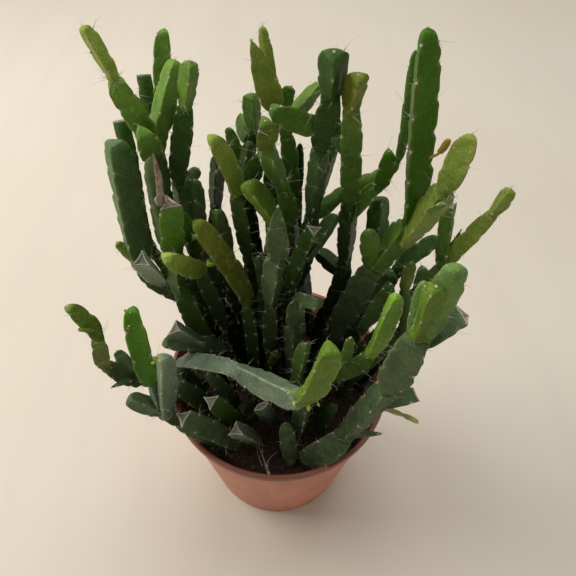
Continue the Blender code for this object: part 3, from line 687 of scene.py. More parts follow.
def placed(name, parts, finish, node=None):
    """Puts the joined parts, in millimetres, on the root body, where a node is named in its place,
    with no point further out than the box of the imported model.
    """
    points, quads, fans, values = joined(parts)
    points = np.clip(points, CAD_LOW / MM + 0.02, CAD_HIGH / MM - 0.02)
    obj = put_mesh(name, points * MM, quads, fans, finish, values)
    if node:
        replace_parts(obj, node)
    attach(obj, ROOT)


def even_angles(count):
    return 2 * np.pi * np.arange(count) / count


def circle(angle, side, other):
    """Directions at some angles from one direction towards the other: cos times the first plus
    sin times the second.
    """
    return np.cos(angle)[..., None] * side + np.sin(angle)[..., None] * other


def unit(vectors):
    return vectors / np.linalg.norm(vectors, axis=-1, keepdims=True)


def tube_faces(rings, around):
    """Quads between the rings of a closed tube, and the two fans that close its ends on two
    further points, the first and the last.
    """
    ring, spoke = np.meshgrid(np.arange(rings - 1), np.arange(around), indexing="ij")
    right = (spoke + 1) % around
    quads = np.stack((ring * around + spoke, ring * around + right,
                      (ring + 1) * around + right, (ring + 1) * around + spoke), -1).reshape(-1, 4)
    k = np.arange(around)
    n = (k + 1) % around
    last = (rings - 1) * around
    start, end = (np.full(around, rings * around + i) for i in (0, 1))
    return quads, np.concatenate((np.stack((start, n, k), -1), np.stack((end, last + k, last + n), -1)))


def tube(grid, first, last, values=None):
    """A closed tube from its grid of rings and points, and the two points that close its ends."""
    return (np.concatenate((grid.reshape(-1, 3), (first, last))), *tube_faces(*grid.shape[:2]), values or {})


def copies(points, rings, around):
    """Many small closed tubes of one form, each row of points one of them: its rings, then its
    two end points.
    """
    base = np.arange(len(points))[:, None, None] * points.shape[1]
    quads, fans = ((faces + base).reshape(-1, faces.shape[1]) for faces in tube_faces(rings, around))
    return points.reshape(-1, 3), quads, fans, {}


def turned(profile, around):
    """A profile of (radius, height) that starts and ends on the axis, turned about Z: the point
    at angle a is (radius cos a, radius sin a, height).
    """
    angle = even_angles(around)
    radius, height = np.asarray(profile, float)[:, :, None].transpose(1, 0, 2)
    grid = np.stack(np.broadcast_arrays(radius * np.cos(angle), radius * np.sin(angle), height), -1)[1:-1]
    return tube(grid, (0, 0, profile[0][1]), (0, 0, profile[-1][1]))


def refined(profile, step):
    """The same profile with points no further apart than step."""
    out = [profile[:1]]
    for a, b in zip(profile, profile[1:]):
        count = max(1, int(np.ceil(np.hypot(*(b - a)) / step)))
        out.append(a + (b - a) * (np.arange(1, count + 1)[:, None] / count))
    return np.concatenate(out)


def rounded(profile, radius, steps):
    """The same profile with each corner replaced by a short arc: the quadratic curve whose
    control point is the corner and whose ends lie radius away along both sides.
    """
    out = [profile[:1]]
    t = np.linspace(0, 1, steps)[:, None]
    for a, b, c in zip(profile, profile[1:], profile[2:]):
        start, end = (b + (p - b) * min(radius / np.hypot(*(p - b)), 0.45) for p in (a, c))
        out.append((1 - t)**2 * start + 2 * t * (1 - t) * b + t**2 * end)
    return np.concatenate((*out, profile[-1:]))


def smooth(value, low, high):
    """0 below low, 1 above high, smooth step between."""
    t = np.clip((value - low) / (high - low), 0, 1)
    return t * t * (3 - 2 * t)


def lumps(x, y, size, seed):
    """Smooth random heights from -1 to 1: a value at each corner of a grid of that size, mixed
    by the smooth step of the place between the corners.
    """
    table = np.random.default_rng(seed).uniform(-1, 1, (64, 64))
    column, row = np.floor(x / size).astype(int), np.floor(y / size).astype(int)
    across, up = smooth(x / size - column, 0, 1), smooth(y / size - row, 0, 1)
    low, high = (table[column % 64, (row + k) % 64] * (1 - across)
                 + table[(column + 1) % 64, (row + k) % 64] * across for k in (0, 1))
    return low * (1 - up) + high * up


def wall_radius(z):
    """Outside of the pot's tapered wall at a height, in millimetres."""
    return BASE_RADIUS + (WALL_TOP_RADIUS - BASE_RADIUS) * z / (POT_HEIGHT - LIP_BAND)


def soil_height(x, y):
    """Height of the soil: a low dome, lumps of four sizes, and a little lower at the wall."""
    radius = np.hypot(x, y)
    lump = (0.55 * lumps(x + 91, y + 37, 9.0, 3) + 0.30 * lumps(x + 13, y + 71, 3.7, 4)
            + 0.22 * np.abs(lumps(x + 5, y + 8, 1.5, 5)) + 0.10 * lumps(x + 77, y + 3, 0.7, 6))
    sunk = SOIL_DOME * (radius / SOIL_RADIUS)**2 + 0.9 * smooth(radius, SOIL_RADIUS - 3.5, SOIL_RADIUS + 0.5)
    return SOIL_TOP - sunk + 0.75 * bpy.context.scene.rhipsalis_soil.roughness * lump


# --- stems ---------------------------------------------------------------------------------

def hermite(t, p, s, q, e):
    """Cubic from p, with slope s, at t = 0 to q, with slope e, at t = 1."""
    return ((2 * t**3 - 3 * t**2 + 1) * p + (t**3 - 2 * t**2 + t) * s
            + (3 * t**2 - 2 * t**3) * q + (t**3 - t**2) * e)


def monotone(knots, heights, at):
    """Smooth curve through the knots that never overshoots: cubic Hermite, the slope at a knot
    being the harmonic mean of the slopes on its two sides, and 0 where their signs differ.
    """
    knots, heights = np.asarray(knots, float), np.asarray(heights, float)
    rise = np.diff(heights) / np.diff(knots)
    both = rise[:-1] * rise[1:]
    inner = np.where(both > 0, 2 * both / np.where(both > 0, rise[:-1] + rise[1:], 1), 0.0)
    slope = np.concatenate((rise[:1], inner, rise[-1:]))
    i = np.clip(np.searchsorted(knots, at, side="right") - 1, 0, len(rise) - 1)
    h = knots[i + 1] - knots[i]
    share = np.clip((at - knots[i]) / h, 0, 1)
    return hermite(share, heights[i], h * slope[i], heights[i + 1], h * slope[i + 1])


def curve_points(joints, index, share):
    """Points and directions on the smooth line through the joints: cubic Hermite between joints
    i and i + 1, with 0.8 of half the chord between a joint's neighbours as its slope, so that
    the line bends most at the joints.
    """
    def slope(i):
        a, b = max(i - 1, 0), min(i + 1, len(joints) - 1)
        return (joints[b] - joints[a]) * (0.8 / (b - a))
    p, q, s, e = joints[index], joints[index + 1], slope(index), slope(index + 1)
    t = share[:, None]
    way = 6 * (t - t**2) * (q - p) + (3 * t**2 - 4 * t + 1) * s + (3 * t**2 - 2 * t) * e
    return hermite(t, p, s, q, e), unit(way)


def carried(way, start):
    """Two directions across a line at each of its points, carried along it without turning
    about it.
    """
    side = np.empty_like(way)
    current = np.array(start)
    for k in range(len(way)):
        current = unit(current - way[k] * np.dot(current, way[k]))
        side[k] = current
    return side, np.cross(way, side)


def halved(joints, tones):
    """Joints with one more at the middle of every long segment, and a tone for each segment."""
    out, letters = [joints[0]], []
    for before, after, letter in zip(joints, joints[1:], tones):
        if math.dist(before[:3], after[:3]) > LONG:
            out.append((*((a + b) / 2 for a, b in zip(before[:3], after[:3])), after[3]))
            letters.append(letter)
        out.append(after)
        letters.append(letter)
    return out, letters


def section(angle, ribs, valley, edge):
    """Share of the rib radius at each angle from a rib: one over it runs from 1 at a rib to one
    over valley midway between two, as the cosine of the angle from there, so that the faces are
    flat to slightly hollow; then the rib's edge is blunted.
    """
    span = np.pi / ribs
    from_rib = np.abs((angle + span) % (2 * span) - span)
    share = (np.cos(span - from_rib) - np.cos(span)) / (1 - np.cos(span))
    r = 1 / (1 + (1 / valley - 1) * share)
    return (1 - np.sqrt((1 - r)**2 + edge**2)) / (1 - edge), from_rib


def painted_daylight(place):
    """Painted light and shade, as a factor on a stem's own tone: lighter with height and away from
    the middle, more so on the side of the window and at the front left, less at the front right.
    """
    x, y, z = place.T
    open_air = smooth(z, SOIL_TOP + 18, SOIL_TOP + 118) + 0.5 * smooth(np.hypot(x + 2, y - 5), 16, 44)
    window = smooth(-x, 14, 34) * smooth(z, SOIL_TOP + 35, SOIL_TOP + 80) * smooth(y, -20, -6)
    left = smooth(-x, 24, 40) * smooth(-y, 0, 12)
    right = smooth(x, 15, 35) * smooth(-y, 5, 25)
    return (0.12 + 1.10 * np.minimum(open_air, 1)) * (1 + 0.30 * (window + left) - 0.14 * right)


def run_rings(run, plant, rng):
    """Every ring of one run in order, an array for each measure: place, way along the line, share
    of the segment's length, tone with its painted light and shade, margin, bloom, spots, rib radius,
    valley share, phase, distance along the segment, the segment's length and number, and how much
    of a callus it is.
    """
    tip, ribs, turn, tones, start, *joints = run
    planted = len(start) == 2
    first = (*start, SOIL_TOP + PEG_ABOVE) if planted else start
    line, letters = halved([(*first, 0.0), *joints], tones)
    points = np.array([joint[:3] for joint in line], float)
    radii = [joint[3] / SPAN[ribs] for joint in line[1:]]
    rings = {}

    def put(place, way, letter, share, **more):
        """Adds rings; a measure given as one number is the same for all of them."""
        # Painted light and shade: the tone is darkened low and inside the plant and lightened higher up and
        # towards the window; it also grows lighter towards each segment's end.
        light = (0.86 + 0.26 * share) * painted_daylight(place)
        tone = np.array(getattr(plant, TONE_NAMES[letter])) * light[:, None]
        margin = (letter in YOUNG) * (0.25 + 0.75 * smooth(share, 0.35, 1.0))
        more.update(place=place, way=way, share=share, tone=tone, margin=margin,
                    bloom=BLOOM.get(letter, 0.0), spots=SPOTS.get(letter, 0.0))
        for key, value in more.items():
            shape = place.shape if key in ("place", "way", "tone") else len(place)
            rings.setdefault(key, []).append(np.broadcast_to(value, shape))

    phase = math.radians(turn)
    if planted:
        peg = np.array([(*start, z) for z in (SOIL_TOP - 2.5, SOIL_TOP, SOIL_TOP + 0.8)])
        put(peg, (0.0, 0.0, 1.0), letters[0], np.zeros(3), radius=PEG_RADIUS, valley=1.0, phase=phase,
            along=0.0, length=1.0, segment=-1, scar=0.0)
    for i, radius in enumerate(radii):
        last = i == len(radii) - 1
        below = min(radius, radii[i - 1]) * INNER_NECK if i else PEG_RADIUS if planted else radius * NECK
        table = TIPS[tip] if last else (*BODY, (1.0, min(radius, radii[i + 1]) * INNER_NECK / radius))
        length = math.dist(points[i], points[i + 1])
        count = max(10, int(round(length / plant.ring_step)))
        share = np.arange(count + 1) / count
        if not last:
            share = share[:-1]
        elif tip != "cut":
            closing = 1 - 0.14 * (1 - np.linspace(0, 1, 12))**1.7
            share = np.unique(np.concatenate((share[share < 0.86], closing)))
        place, way = curve_points(points, i, share)
        size = monotone(*zip((0.0, below / radius), *table), share) * radius
        hollow = smooth(share, 0.0, 0.15) * (1 - (FLATTER[tip] * smooth(share, 0.84, 1.0) if last
                                                  else smooth(share, 0.86, 1.0)))
        deepest = VALLEY - (0.08 if last and tip == "cut" else 0.0) * smooth(share, 0.8, 1.0)
        twist = math.radians(rng.uniform(-7, 7)) * np.sin(np.pi * share)
        put(place, way, letters[i], share, radius=np.maximum(size, 0.015), valley=1 - (1 - deepest) * hollow,
            phase=phase + twist, along=share * length, length=length, segment=i, scar=0.0)
        if not last and ribs == 3:
            phase += math.radians(60.0)
    if tip in CAPS:
        inner, sunk, scar = np.array(CAPS[tip]).T
        end, way = curve_points(points, i, np.ones(1))
        valley = np.linspace(rings["valley"][-1][-1], CAP_VALLEY[tip], len(inner))
        put(end - way * sunk[:, None], way, letters[-1], np.ones(len(inner)), radius=size[-1] * inner,
            valley=valley, phase=phase, along=length, length=length, segment=i, scar=scar)
    if tip == "cut":
        rings["scar"][-2] = smooth(share, 0.965, 1.0)
    return {key: np.concatenate(value) for key, value in rings.items()}


def run_surface(run, plant, rng):
    """One run as a closed tube: the point at angle a of a ring is its centre plus the radius
    along cos a times one side and sin a times the other, both carried along the line without
    turning about it. The radius follows section(), less a notch at every areole, more just
    below it, and three slow waves. Returns the surface and the marks of its areoles: place,
    outward, along the stem, and how strong.
    """
    tip, ribs = run[:2]
    rings = run_rings(run, plant, rng)
    way, share, segment = rings["way"], rings["share"], rings["segment"]
    around = plant.points_around // ribs * ribs
    even = even_angles(around)
    angle = even - 0.5 / ribs * np.sin(ribs * even)
    shape, from_rib = section(angle, ribs, rings["valley"][:, None], plant.edge)
    rib_number = np.round(even / (2 * np.pi / ribs)).astype(int) % ribs
    strength = np.clip((1 - rings["valley"]) / (1 - VALLEY), 0, 1)[:, None]
    near_rib = np.exp(-(from_rib / NOTCH_ANGLE)**2)
    areole, bite, tufts = np.zeros_like(shape), np.zeros_like(shape), []
    for number in np.unique(segment[segment >= 0]):
        of_it = (segment == number) & (rings["scar"] < 0.2)
        length = rings["length"][of_it][0]
        count = max(1, int(round(length / plant.areole_gap)))
        first = rng.uniform(0, 1)
        for rib in range(ribs):
            stations = (np.arange(count) + (first + rib / ribs) % 1.0) / count
            stations = np.clip(stations + rng.uniform(-0.06, 0.06, count) / count, 0.09, 0.93)
            here = of_it[:, None] & (rib_number == rib)
            for station in stations:
                gap = (share - station) * length
                dip = np.exp(-(gap / NOTCH_REACH)**2)
                dip -= SWELL * np.exp(-((gap + SWELL_BELOW) / SWELL_REACH)**2)
                bite += np.where(here, dip[:, None] * near_rib, 0)
                away = np.hypot(gap[:, None], from_rib * rings["radius"][:, None])
                areole = np.maximum(areole, np.where(here, np.exp(-(away / AREOLE_REACH)**2), 0))
                ring = np.argmin(np.where(of_it, np.abs(gap), np.inf))
                tufts.append((ring, np.argmax((rib_number == rib) & (from_rib < 1e-6))))
    starts = rng.uniform(0, 2 * np.pi, 4)
    along = rings["along"][:, None]
    wave = sum(height * np.sin(along / length + start + (turns or ribs) * angle)
               for (height, length, turns), start in zip(WAVES, starts))
    uneven = 0.05 * rng.uniform(0, 1, ribs)[rib_number] * near_rib
    shape = shape * (MEAN_SWELL + wave * strength) * (1 - uneven * strength)
    shape = shape * (1 - plant.notch * bite * strength)
    radius = rings["radius"][:, None] * np.minimum(shape, 1.0)
    side, other = carried(way, (1.0, 0.0, 0.0))
    out = circle(rings["phase"][:, None] + angle, side[:, None], other[:, None])
    grid = rings["place"][:, None] + radius[..., None] * out

    values = {key: np.concatenate((np.repeat(rings[key], around, 0), rings[key][[0, -1]]))
              for key in ("tone", "bloom", "spots", "scar", "margin")}
    values["rib"] = np.append(np.exp(-(from_rib / EDGE_ANGLE)**2) * strength, (0, 0))
    values["areole"] = np.append(areole * strength, (0, 0))
    marks = [(grid[ring, spoke], out[ring, spoke], way[ring], strength[ring, 0]) for ring, spoke in tufts]
    if tip in ("round", "point"):
        marks.append((rings["place"][-1], way[-1], way[-1], TIP_MARK))
    for k in np.nonzero((np.diff(segment) != 0) & (segment[1:] > 0))[0] + 1:
        marks += [(grid[k, spoke], out[k, spoke], way[k], NECK_MARK)
                  for spoke in range(0, around, around // ribs)]
    return tube(grid, rings["place"][0], rings["place"][-1], values), marks


# --- small pieces --------------------------------------------------------------------------

def balls(places, outward, along, sizes, flat, rng):
    """Small lumpy balls as one mesh: each is a ball of six points round and three rings, its
    points moved in or out at random, stretched along one direction and flattened outward.
    """
    ring, spoke = np.meshgrid(np.array((0.25, 0.5, 0.75)) * np.pi, even_angles(6), indexing="ij")
    ball = np.stack((np.sin(ring) * np.cos(spoke), np.sin(ring) * np.sin(spoke), -np.cos(ring)), -1)
    ball = np.concatenate((ball.reshape(-1, 3), ((0, 0, -1.0), (0, 0, 1.0))))
    across = unit(np.cross(outward, along))
    along = np.cross(across, outward)
    reach = sizes[:, None, None] * ball * rng.uniform(0.72, 1.2, (len(places), len(ball), 1))
    points = (places[:, None] + reach[..., :1] * along[:, None] + reach[..., 1:2] * across[:, None]
              + reach[..., 2:] * flat * outward[:, None])
    return copies(points, 3, 6)


def needles(roots, ways, lengths, widths, bend):
    """Thin tapered three-sided needles as one mesh: four rings that shrink to a point, the line
    bending aside by the square of the distance along it.
    """
    ways = unit(ways)
    side = unit(np.cross(ways, np.where(np.abs(ways[:, 2:]) < 0.8, (0.0, 0.0, 1.0), (1.0, 0.0, 0.0))))
    share, girth = np.array(((0.0, 0.35, 0.7, 1.0), (1.0, 0.8, 0.5, 0.08)))
    reach = lengths[:, None, None] * share[:, None]
    line = roots[:, None] + ways[:, None] * reach + bend[:, None] * reach * share[:, None]
    ring = circle(even_angles(3), side[:, None], np.cross(ways, side)[:, None])
    points = line[:, :, None] + ring[:, None] * (widths[:, None] * girth)[..., None, None]
    return copies(np.concatenate((points.reshape(len(roots), -1, 3), line[:, [0, -1]]), 1), 4, 3)


def strip(widths, thick, around, *joints):
    """A strip along a smooth line through its joints: each ring is an ellipse, as wide as the
    width there and thick times that deep, carried along without turning about the line.
    """
    joints = np.array(joints, float)
    spans = []
    for i in range(len(joints) - 1):
        share = np.linspace(0, 1, 9)[:None if i == len(joints) - 2 else -1]
        spans.append((*curve_points(joints, i, share), widths[i] + (widths[i + 1] - widths[i]) * share))
    place, way, size = (np.concatenate(column) for column in zip(*spans))
    side, other = carried(way, (1.0, 0.3, 0.1))
    ring = circle(even_angles(around), side[:, None], thick * other[:, None])
    return tube(place[:, None] + 0.5 * size[:, None, None] * ring, place[0], place[-1])


def bud(place, length, way):
    """A flower bud: at share t of its length the radius is 0.27 of the length times the sine of
    pi t, pinched by three tenths in five folds.
    """
    place, way = np.array(place), unit(np.array(way))
    side = unit(np.cross(way, (0.3, 0.9, 0.1)))
    share, angle = (np.arange(9) + 0.5) / 9, even_angles(14)
    radius = 0.27 * length * np.sin(np.pi * share)[:, None] * (0.85 + 0.15 * np.cos(5 * angle))
    grid = (place + (share * length)[:, None, None] * way
            + radius[..., None] * circle(angle, side, np.cross(way, side)))
    return tube(grid, place, place + length * way)


def inside_box(points, per_shape):
    """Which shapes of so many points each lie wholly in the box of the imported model."""
    grouped = points.reshape(-1, per_shape, 3)
    return ((grouped > CAD_LOW / MM) & (grouped < CAD_HIGH / MM)).all((1, 2))


# --- operators -----------------------------------------------------------------------------

class RHIPSALIS_OT_studio(bpy.types.Operator):
    """Add the pale floor, the soft lamps, the room light and the camera"""
    bl_idname = "rhipsalis.studio"
    bl_label = "Studio"

    def execute(self, context):
        settings = context.scene.rhipsalis_studio
        power, side = settings.window_power, 3.0
        corners = [(-side, -side, 0), (side, -side, 0), (side, side, 0), (-side, side, 0)]
        put_mesh("floor", corners, [(0, 1, 2, 3)], [], floor_finish(settings))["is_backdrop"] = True
        self.lamp(context, "window", (-0.64, 0.16, 0.68), (0.0, 0.0, 0.10), 0.55, power, (1.0, 0.985, 0.955))
        self.lamp(context, "ceiling", (0.06, 0.50, 1.30), (0.0, 0.05, 0.05), 0.9, power * 1.5,
                  (1.0, 0.99, 0.97))
        self.room(context, settings)
        self.camera(context)
        context.scene.view_settings.view_transform = "Standard"
        return {"FINISHED"}

    @staticmethod
    def lamp(context, name, place, target, size, power, colour):
        light = bpy.data.lights.new(name, "AREA")
        light.shape, light.size, light.energy, light.color = "SQUARE", size, power, colour
        obj = bpy.data.objects.new(name, light)
        obj.location = place
        obj.rotation_euler = (Vector(target) - Vector(place)).to_track_quat("-Z", "Y").to_euler()
        context.scene.collection.objects.link(obj)

    @staticmethod
    def room(context, settings):
        """Even light from all round; seen directly, in gloss or through something clear, it is
        the pale wall behind the floor.
        """
        world = bpy.data.worlds.new("room")
        nodes = Nodes(world)
        nodes.tree.nodes.clear()
        seen, glossy, clear = (nodes.node("LightPath", {}, {}, "Is " + kind + " Ray")
                               for kind in ("Camera", "Glossy", "Transmission"))
        light, wall = (nodes.node("Background", {}, {"Color": (*colour, 1.0), "Strength": strength})
                       for colour, strength in (((1.0, 0.985, 0.955), settings.room_light),
                                                (settings.floor, 1.0)))
        shown = nodes.node("MixShader", {}, {0: seen + glossy + clear, 1: light, 2: wall})
        nodes.node("OutputWorld", {}, {0: shown})
        context.scene.world = world

    @staticmethod
    def camera(context):
        """Held over the front of the plant and tipped a little to one side."""
        pitch, yaw, roll = math.radians(50.2), math.radians(1.3), math.radians(2.0)
        lens = bpy.data.cameras.new("camera")
        lens.lens, lens.sensor_width, lens.clip_start = 32.5, 36.0, 0.01
        obj = bpy.data.objects.new("camera", lens)
        obj.matrix_world = (Matrix.Translation((0.0, -0.112, 0.266)) @ Matrix.Rotation(-yaw, 4, "Z")
                            @ Matrix.Rotation(math.pi / 2 - pitch, 4, "X") @ Matrix.Rotation(roll, 4, "Z"))
        context.scene.collection.objects.link(obj)
        context.scene.camera = obj


class RHIPSALIS_OT_pot(bpy.types.Operator):
    """Turn the thin pot with its lip, foot and drainage holes"""
    bl_idname = "rhipsalis.pot"
    bl_label = "Pot"

    def execute(self, context):
        settings = context.scene.rhipsalis_pot
        band, foot = POT_HEIGHT - LIP_BAND, BASE_RADIUS - FOOT_WIDTH
        corners = np.array((
            (0.0, 0.0), (PAD_RADIUS, 0.0), (PAD_RADIUS + 0.6, FOOT_LIFT), (foot - 0.6, FOOT_LIFT),
            (foot, 0.0), (BASE_RADIUS, 0.0), (wall_radius(band), band), (LIP_RADIUS - 0.1, band + 0.1),
            (LIP_RADIUS, POT_HEIGHT), (LIP_RADIUS - 1.7, POT_HEIGHT), (wall_radius(band) - WALL, band - 0.6),
            (wall_radius(FLOOR_TOP) - WALL, FLOOR_TOP), (0.0, FLOOR_TOP)))
        profile = refined(rounded(corners, 0.55, 5), 1.6)
        points, quads, fans, _ = turned(profile, settings.points_around)
        radius, z = np.hypot(points[:, 0], points[:, 1]), points[:, 2]
        lip = smooth(z, band - 0.5, band + 0.2) * smooth(radius, LIP_RADIUS - 3.0, LIP_RADIUS - 1.6)
        pot = put_mesh("pot_shell", points * MM, quads, fans, pot_finish(settings), {"lip": lip})
        self.drain(pot)
        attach(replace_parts(pot, "pot"), ROOT)
        return {"FINISHED"}

    @staticmethod
    def drain(pot):
        """Cuts the ring of round holes through the floor."""
        drum = ((0, -2.0), (DRAIN_RADIUS, -2.0), (DRAIN_RADIUS, FLOOR_TOP + 2), (0, FLOOR_TOP + 2))
        points, *rest = turned(drum, 40)
        centres = DRAIN_RING * circle(even_angles(DRAIN_COUNT), np.array((1, 0, 0)), np.array((0, 1, 0)))
        points, quads, fans, _ = joined([(points + centre, *rest) for centre in centres])
        cutter = put_mesh("drain_cutter", points * MM, quads, fans, pot.data.materials[0])
        cut = pot.modifiers.new("drain", "BOOLEAN")
        cut.operation, cut.solver, cut.object, cut.use_self = "DIFFERENCE", "EXACT", cutter, True
        whole = bpy.data.meshes.new_from_object(pot.evaluated_get(bpy.context.evaluated_depsgraph_get()))
        pot.modifiers.clear()
        pot.data = whole
        whole.set_sharp_from_angle(angle=math.radians(40))
        bpy.data.objects.remove(cutter, do_unlink=True)


class RHIPSALIS_OT_soil(bpy.types.Operator):
    """Fill the pot with lumpy peat, crumbs and bits of fibre"""
    bl_idname = "rhipsalis.soil"
    bl_label = "Soil"

    def execute(self, context):
        settings = context.scene.rhipsalis_soil
        low, middle, bevel = FLOOR_TOP + GAP, 36.0, 2.0
        foot, corner, waist, rim = (wall_radius(z) - WALL - GAP for z in (low, low + bevel, middle,
                                                                          SOIL_TOP - 1.5))
        side = np.array(((foot - bevel, low), (corner, low + bevel), (waist, middle), (rim, SOIL_TOP - 1.9)))
        rings, angle = 110, even_angles(300)
        radius = np.concatenate((side[:, 0], rim * (1 - np.arange(1, rings) / rings)))
        x, y = radius[:, None] * np.cos(angle), radius[:, None] * np.sin(angle)
        z = soil_height(x, y)
        z[:len(side)] = side[:, 1:]
        z[len(side)] = np.minimum(z[len(side)], SOIL_TOP - 1.4)
        top = soil_height(np.zeros(1), np.zeros(1))[0]
        points, quads, fans, _ = tube(np.stack((x, y, z), -1), (0, 0, low), (0, 0, top))
        soil = put_mesh("soil_surface", points * MM, quads, fans, soil_finish(settings))
        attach(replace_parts(soil, "soil"), ROOT)
        self.crumbs(settings)
        self.fibres(settings)
        return {"FINISHED"}

    @staticmethod
    def scattered(rng, count, reach, sunk):
        """Places on the soil, spread evenly over a disc."""
        radius = reach * np.sqrt(rng.uniform(0, 1, count)) - sunk
        angle = rng.uniform(0, 2 * np.pi, count)
        return radius * np.cos(angle), radius * np.sin(angle)

    @classmethod
    def crumbs(cls, settings):
        rng = np.random.default_rng(CRUMB_SEED)
        count = settings.crumbs
        size = np.clip(rng.lognormal(-0.65, 0.5, count), 0.22, 1.7)
        x, y = cls.scattered(rng, count, SOIL_RADIUS - 0.7, 0.5 * size)
        places = np.stack((x, y, soil_height(x, y) + 0.25 * size), -1)
        outward = unit(rng.normal(0, 0.35, (count, 3)) + (0, 0, 1.0))
        along = np.cross(outward, rng.normal(0, 1, (count, 3)))
        points, quads, fans, _ = balls(places, outward, along, size, 0.7, rng)
        peat, bark = np.array(settings.peat) * 1.3, np.array(settings.bark)
        tone = peat + (bark - peat) * rng.uniform(0, 1, (count, 1))**3.0
        tone = np.repeat(tone, len(points) // count, 0)
        placed("soil_crumbs", [(points, quads, fans, {"tone": tone})], crumb_finish())

    @classmethod
    def fibres(cls, settings):
        rng = np.random.default_rng(FIBRE_SEED)
        count = settings.fibres
        x, y = cls.scattered(rng, count, SOIL_RADIUS - 2.0, 0.0)
        lengths = rng.uniform(1.5, 6.5, count)
        heading = rng.uniform(0, 2 * np.pi, count)
        ways = np.stack((np.cos(heading), np.sin(heading), rng.uniform(-0.05, 0.35, count)), -1)
        roots = np.stack((x, y, soil_height(x, y) + 0.25), -1)
        ends = roots + ways * lengths[:, None]
        keep = np.hypot(ends[:, 0], ends[:, 1]) < SOIL_RADIUS - 1.0
        bend = rng.normal(0, 0.12, (count, 3))
        widths = rng.uniform(0.08, 0.26, count)
        fibres = needles(*(part[keep] for part in (roots, ways, lengths, widths, bend)))
        placed("soil_fibres", [fibres], dry_finish("peat_fibre", (0.20, 0.12, 0.065), (0.075, 0.040, 0.022)))


class RHIPSALIS_OT_stems(bpy.types.Operator):
    """Grow the fine skin of every stem, with the wool and bristles of its areoles"""
    bl_idname = "rhipsalis.stems"
    bl_label = "Stems"

    def execute(self, context):
        plant = context.scene.rhipsalis_plant
        skins = {slot: stem_skin(slot) for slot in sorted({SLOTS[name] for name in STEMS})}
        marks = []
        for number, (name, runs) in enumerate(STEMS.items()):
            rng = np.random.default_rng(STEM_SEED + number)
            surfaces, found = zip(*(run_surface(run, plant, rng) for run in runs))
            marks += sum(found, [])
            placed(name + "_skin", surfaces, skins[SLOTS[name]], name)
        rng = np.random.default_rng(SHOOT_SEED)
        shoots = [run_surface(run, plant, rng)[0] for run in SMALL_SHOOTS]
        placed("small_shoots", shoots, skins[SLOTS["stem_olive"]])
        self.areoles(plant, marks)
        return {"FINISHED"}

    @staticmethod
    def areoles(plant, marks):
        """A tuft of wool at most areoles and a few bristles at most of them."""
        rng = np.random.default_rng(AREOLE_SEED)
        place, outward, along, amount = (np.array(column) for column in zip(*marks))
        radius, z = np.hypot(place[:, 0], place[:, 1]), place[:, 2]
        sheltered = (radius < SHELTER[0]) & (z < SOIL_TOP + SHELTER[1])
        shown = (z > SOIL_TOP + 2.0) & (amount > WEAKEST) & ~sheltered
        place, outward, along, amount, radius, z = (
            column[shown] for column in (place, outward, along, amount, radius, z))
        along = np.where(np.abs((along * outward).sum(1, keepdims=True)) > 0.9, np.roll(outward, 1, 1), along)
        open_air = smooth(z, SOIL_TOP + 30, SOIL_TOP + 110) + smooth(radius, 22, 40)
        size = rng.uniform(0.22, 0.42, len(place)) * np.where(amount > 1, 1.2, 1.0)
        size *= 0.45 + 0.55 * np.minimum(open_air, 1)
        woolly = rng.uniform(0, 1, len(place)) < WOOLLY
        wool = balls(place[woolly], outward[woolly], along[woolly], size[woolly], 0.75, rng)
        placed("areole_wool", [wool], wool_finish())

        at_tip, at_neck = amount == TIP_MARK, amount == NECK_MARK
        repeats = rng.integers(0, 4, len(place)) + 1 * at_tip + 4 * at_neck
        pick = np.repeat(np.arange(len(place)), repeats)
        ways = outward[pick] * 0.9 + along[pick] * 0.45 + rng.normal(0, 0.55, (len(pick), 3))
        lengths = plant.bristle * rng.uniform(0.25, 1.0, len(pick))
        lengths *= np.where(at_neck[pick], 1.2, 1.0) * np.where(at_tip[pick], 0.6, 1.0)
        trial, *_ = needles(place[pick], ways, lengths, rng.uniform(0.035, 0.065, len(pick)),
                            rng.normal(0, 0.25, (len(pick), 3)))
        keep = inside_box(trial, len(trial) // len(pick))
        count = keep.sum()
        bristles = needles(place[pick][keep], ways[keep], lengths[keep], np.full(count, 0.055),
                           0.5 * rng.normal(0, 1, (count, 3)))
        placed("areole_bristles", [bristles], bristle_finish())


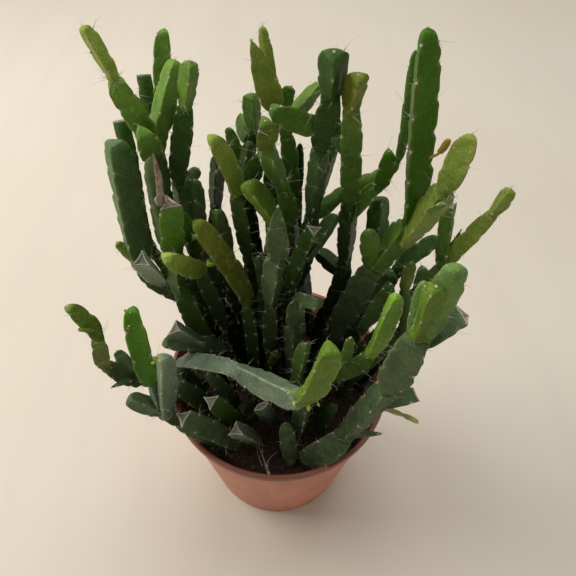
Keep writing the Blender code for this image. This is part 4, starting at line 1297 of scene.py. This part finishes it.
class RHIPSALIS_OT_dry_bits(bpy.types.Operator):
    """Add the dried roots over the rim, the dead strip on a cut stem and the yellow buds"""
    bl_idname = "rhipsalis.dry_bits"
    bl_label = "Dry bits"

    def execute(self, context):
        placed("dry_roots", [strip(*root) for root in DRY_ROOTS],
               dry_finish("dry_root", (0.42, 0.27, 0.19), (0.20, 0.11, 0.07)))
        placed("dead_strip", [strip(*dead) for dead in DEAD_STRIPS],
               dry_finish("dead_skin", (0.42, 0.35, 0.25), (0.25, 0.18, 0.11)))
        placed("flower_buds", [bud(*one) for one in BUDS],
               dry_finish("bud_yellow", (0.50, 0.49, 0.10), (0.34, 0.40, 0.07)))
        return {"FINISHED"}


class RHIPSALIS_PT_panel(bpy.types.Panel):
    """Steps of the potted plant and their settings"""
    bl_label = "Potted rhipsalis"
    bl_idname = "RHIPSALIS_PT_panel"
    bl_space_type = "VIEW_3D"
    bl_region_type = "UI"
    bl_category = "Rhipsalis"

    def draw(self, context):
        for step in STEPS:
            self.layout.operator(step.bl_idname)
        for group in SETTINGS:
            box = self.layout.box()
            for key in SETTINGS[group].__annotations__:
                box.prop(getattr(context.scene, group), key)


STEPS = (RHIPSALIS_OT_studio, RHIPSALIS_OT_pot, RHIPSALIS_OT_soil, RHIPSALIS_OT_stems, RHIPSALIS_OT_dry_bits)
SETTINGS = {"rhipsalis_plant": RhipsalisPlantSettings, "rhipsalis_soil": RhipsalisSoilSettings,
            "rhipsalis_pot": RhipsalisPotSettings, "rhipsalis_studio": RhipsalisStudioSettings}


def register():
    for kind in (*SETTINGS.values(), *STEPS, RHIPSALIS_PT_panel):
        bpy.utils.register_class(kind)
    for group, kind in SETTINGS.items():
        setattr(bpy.types.Scene, group, PointerProperty(type=kind))


def unregister():
    for group in SETTINGS:
        delattr(bpy.types.Scene, group)
    for kind in reversed((*SETTINGS.values(), *STEPS, RHIPSALIS_PT_panel)):
        bpy.utils.unregister_class(kind)


def main():
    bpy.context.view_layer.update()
    register()
    bpy.ops.rhipsalis.studio()
    bpy.ops.rhipsalis.pot()
    bpy.ops.rhipsalis.soil()
    bpy.ops.rhipsalis.stems()
    bpy.ops.rhipsalis.dry_bits()


if __name__ == "__main__":
    main()
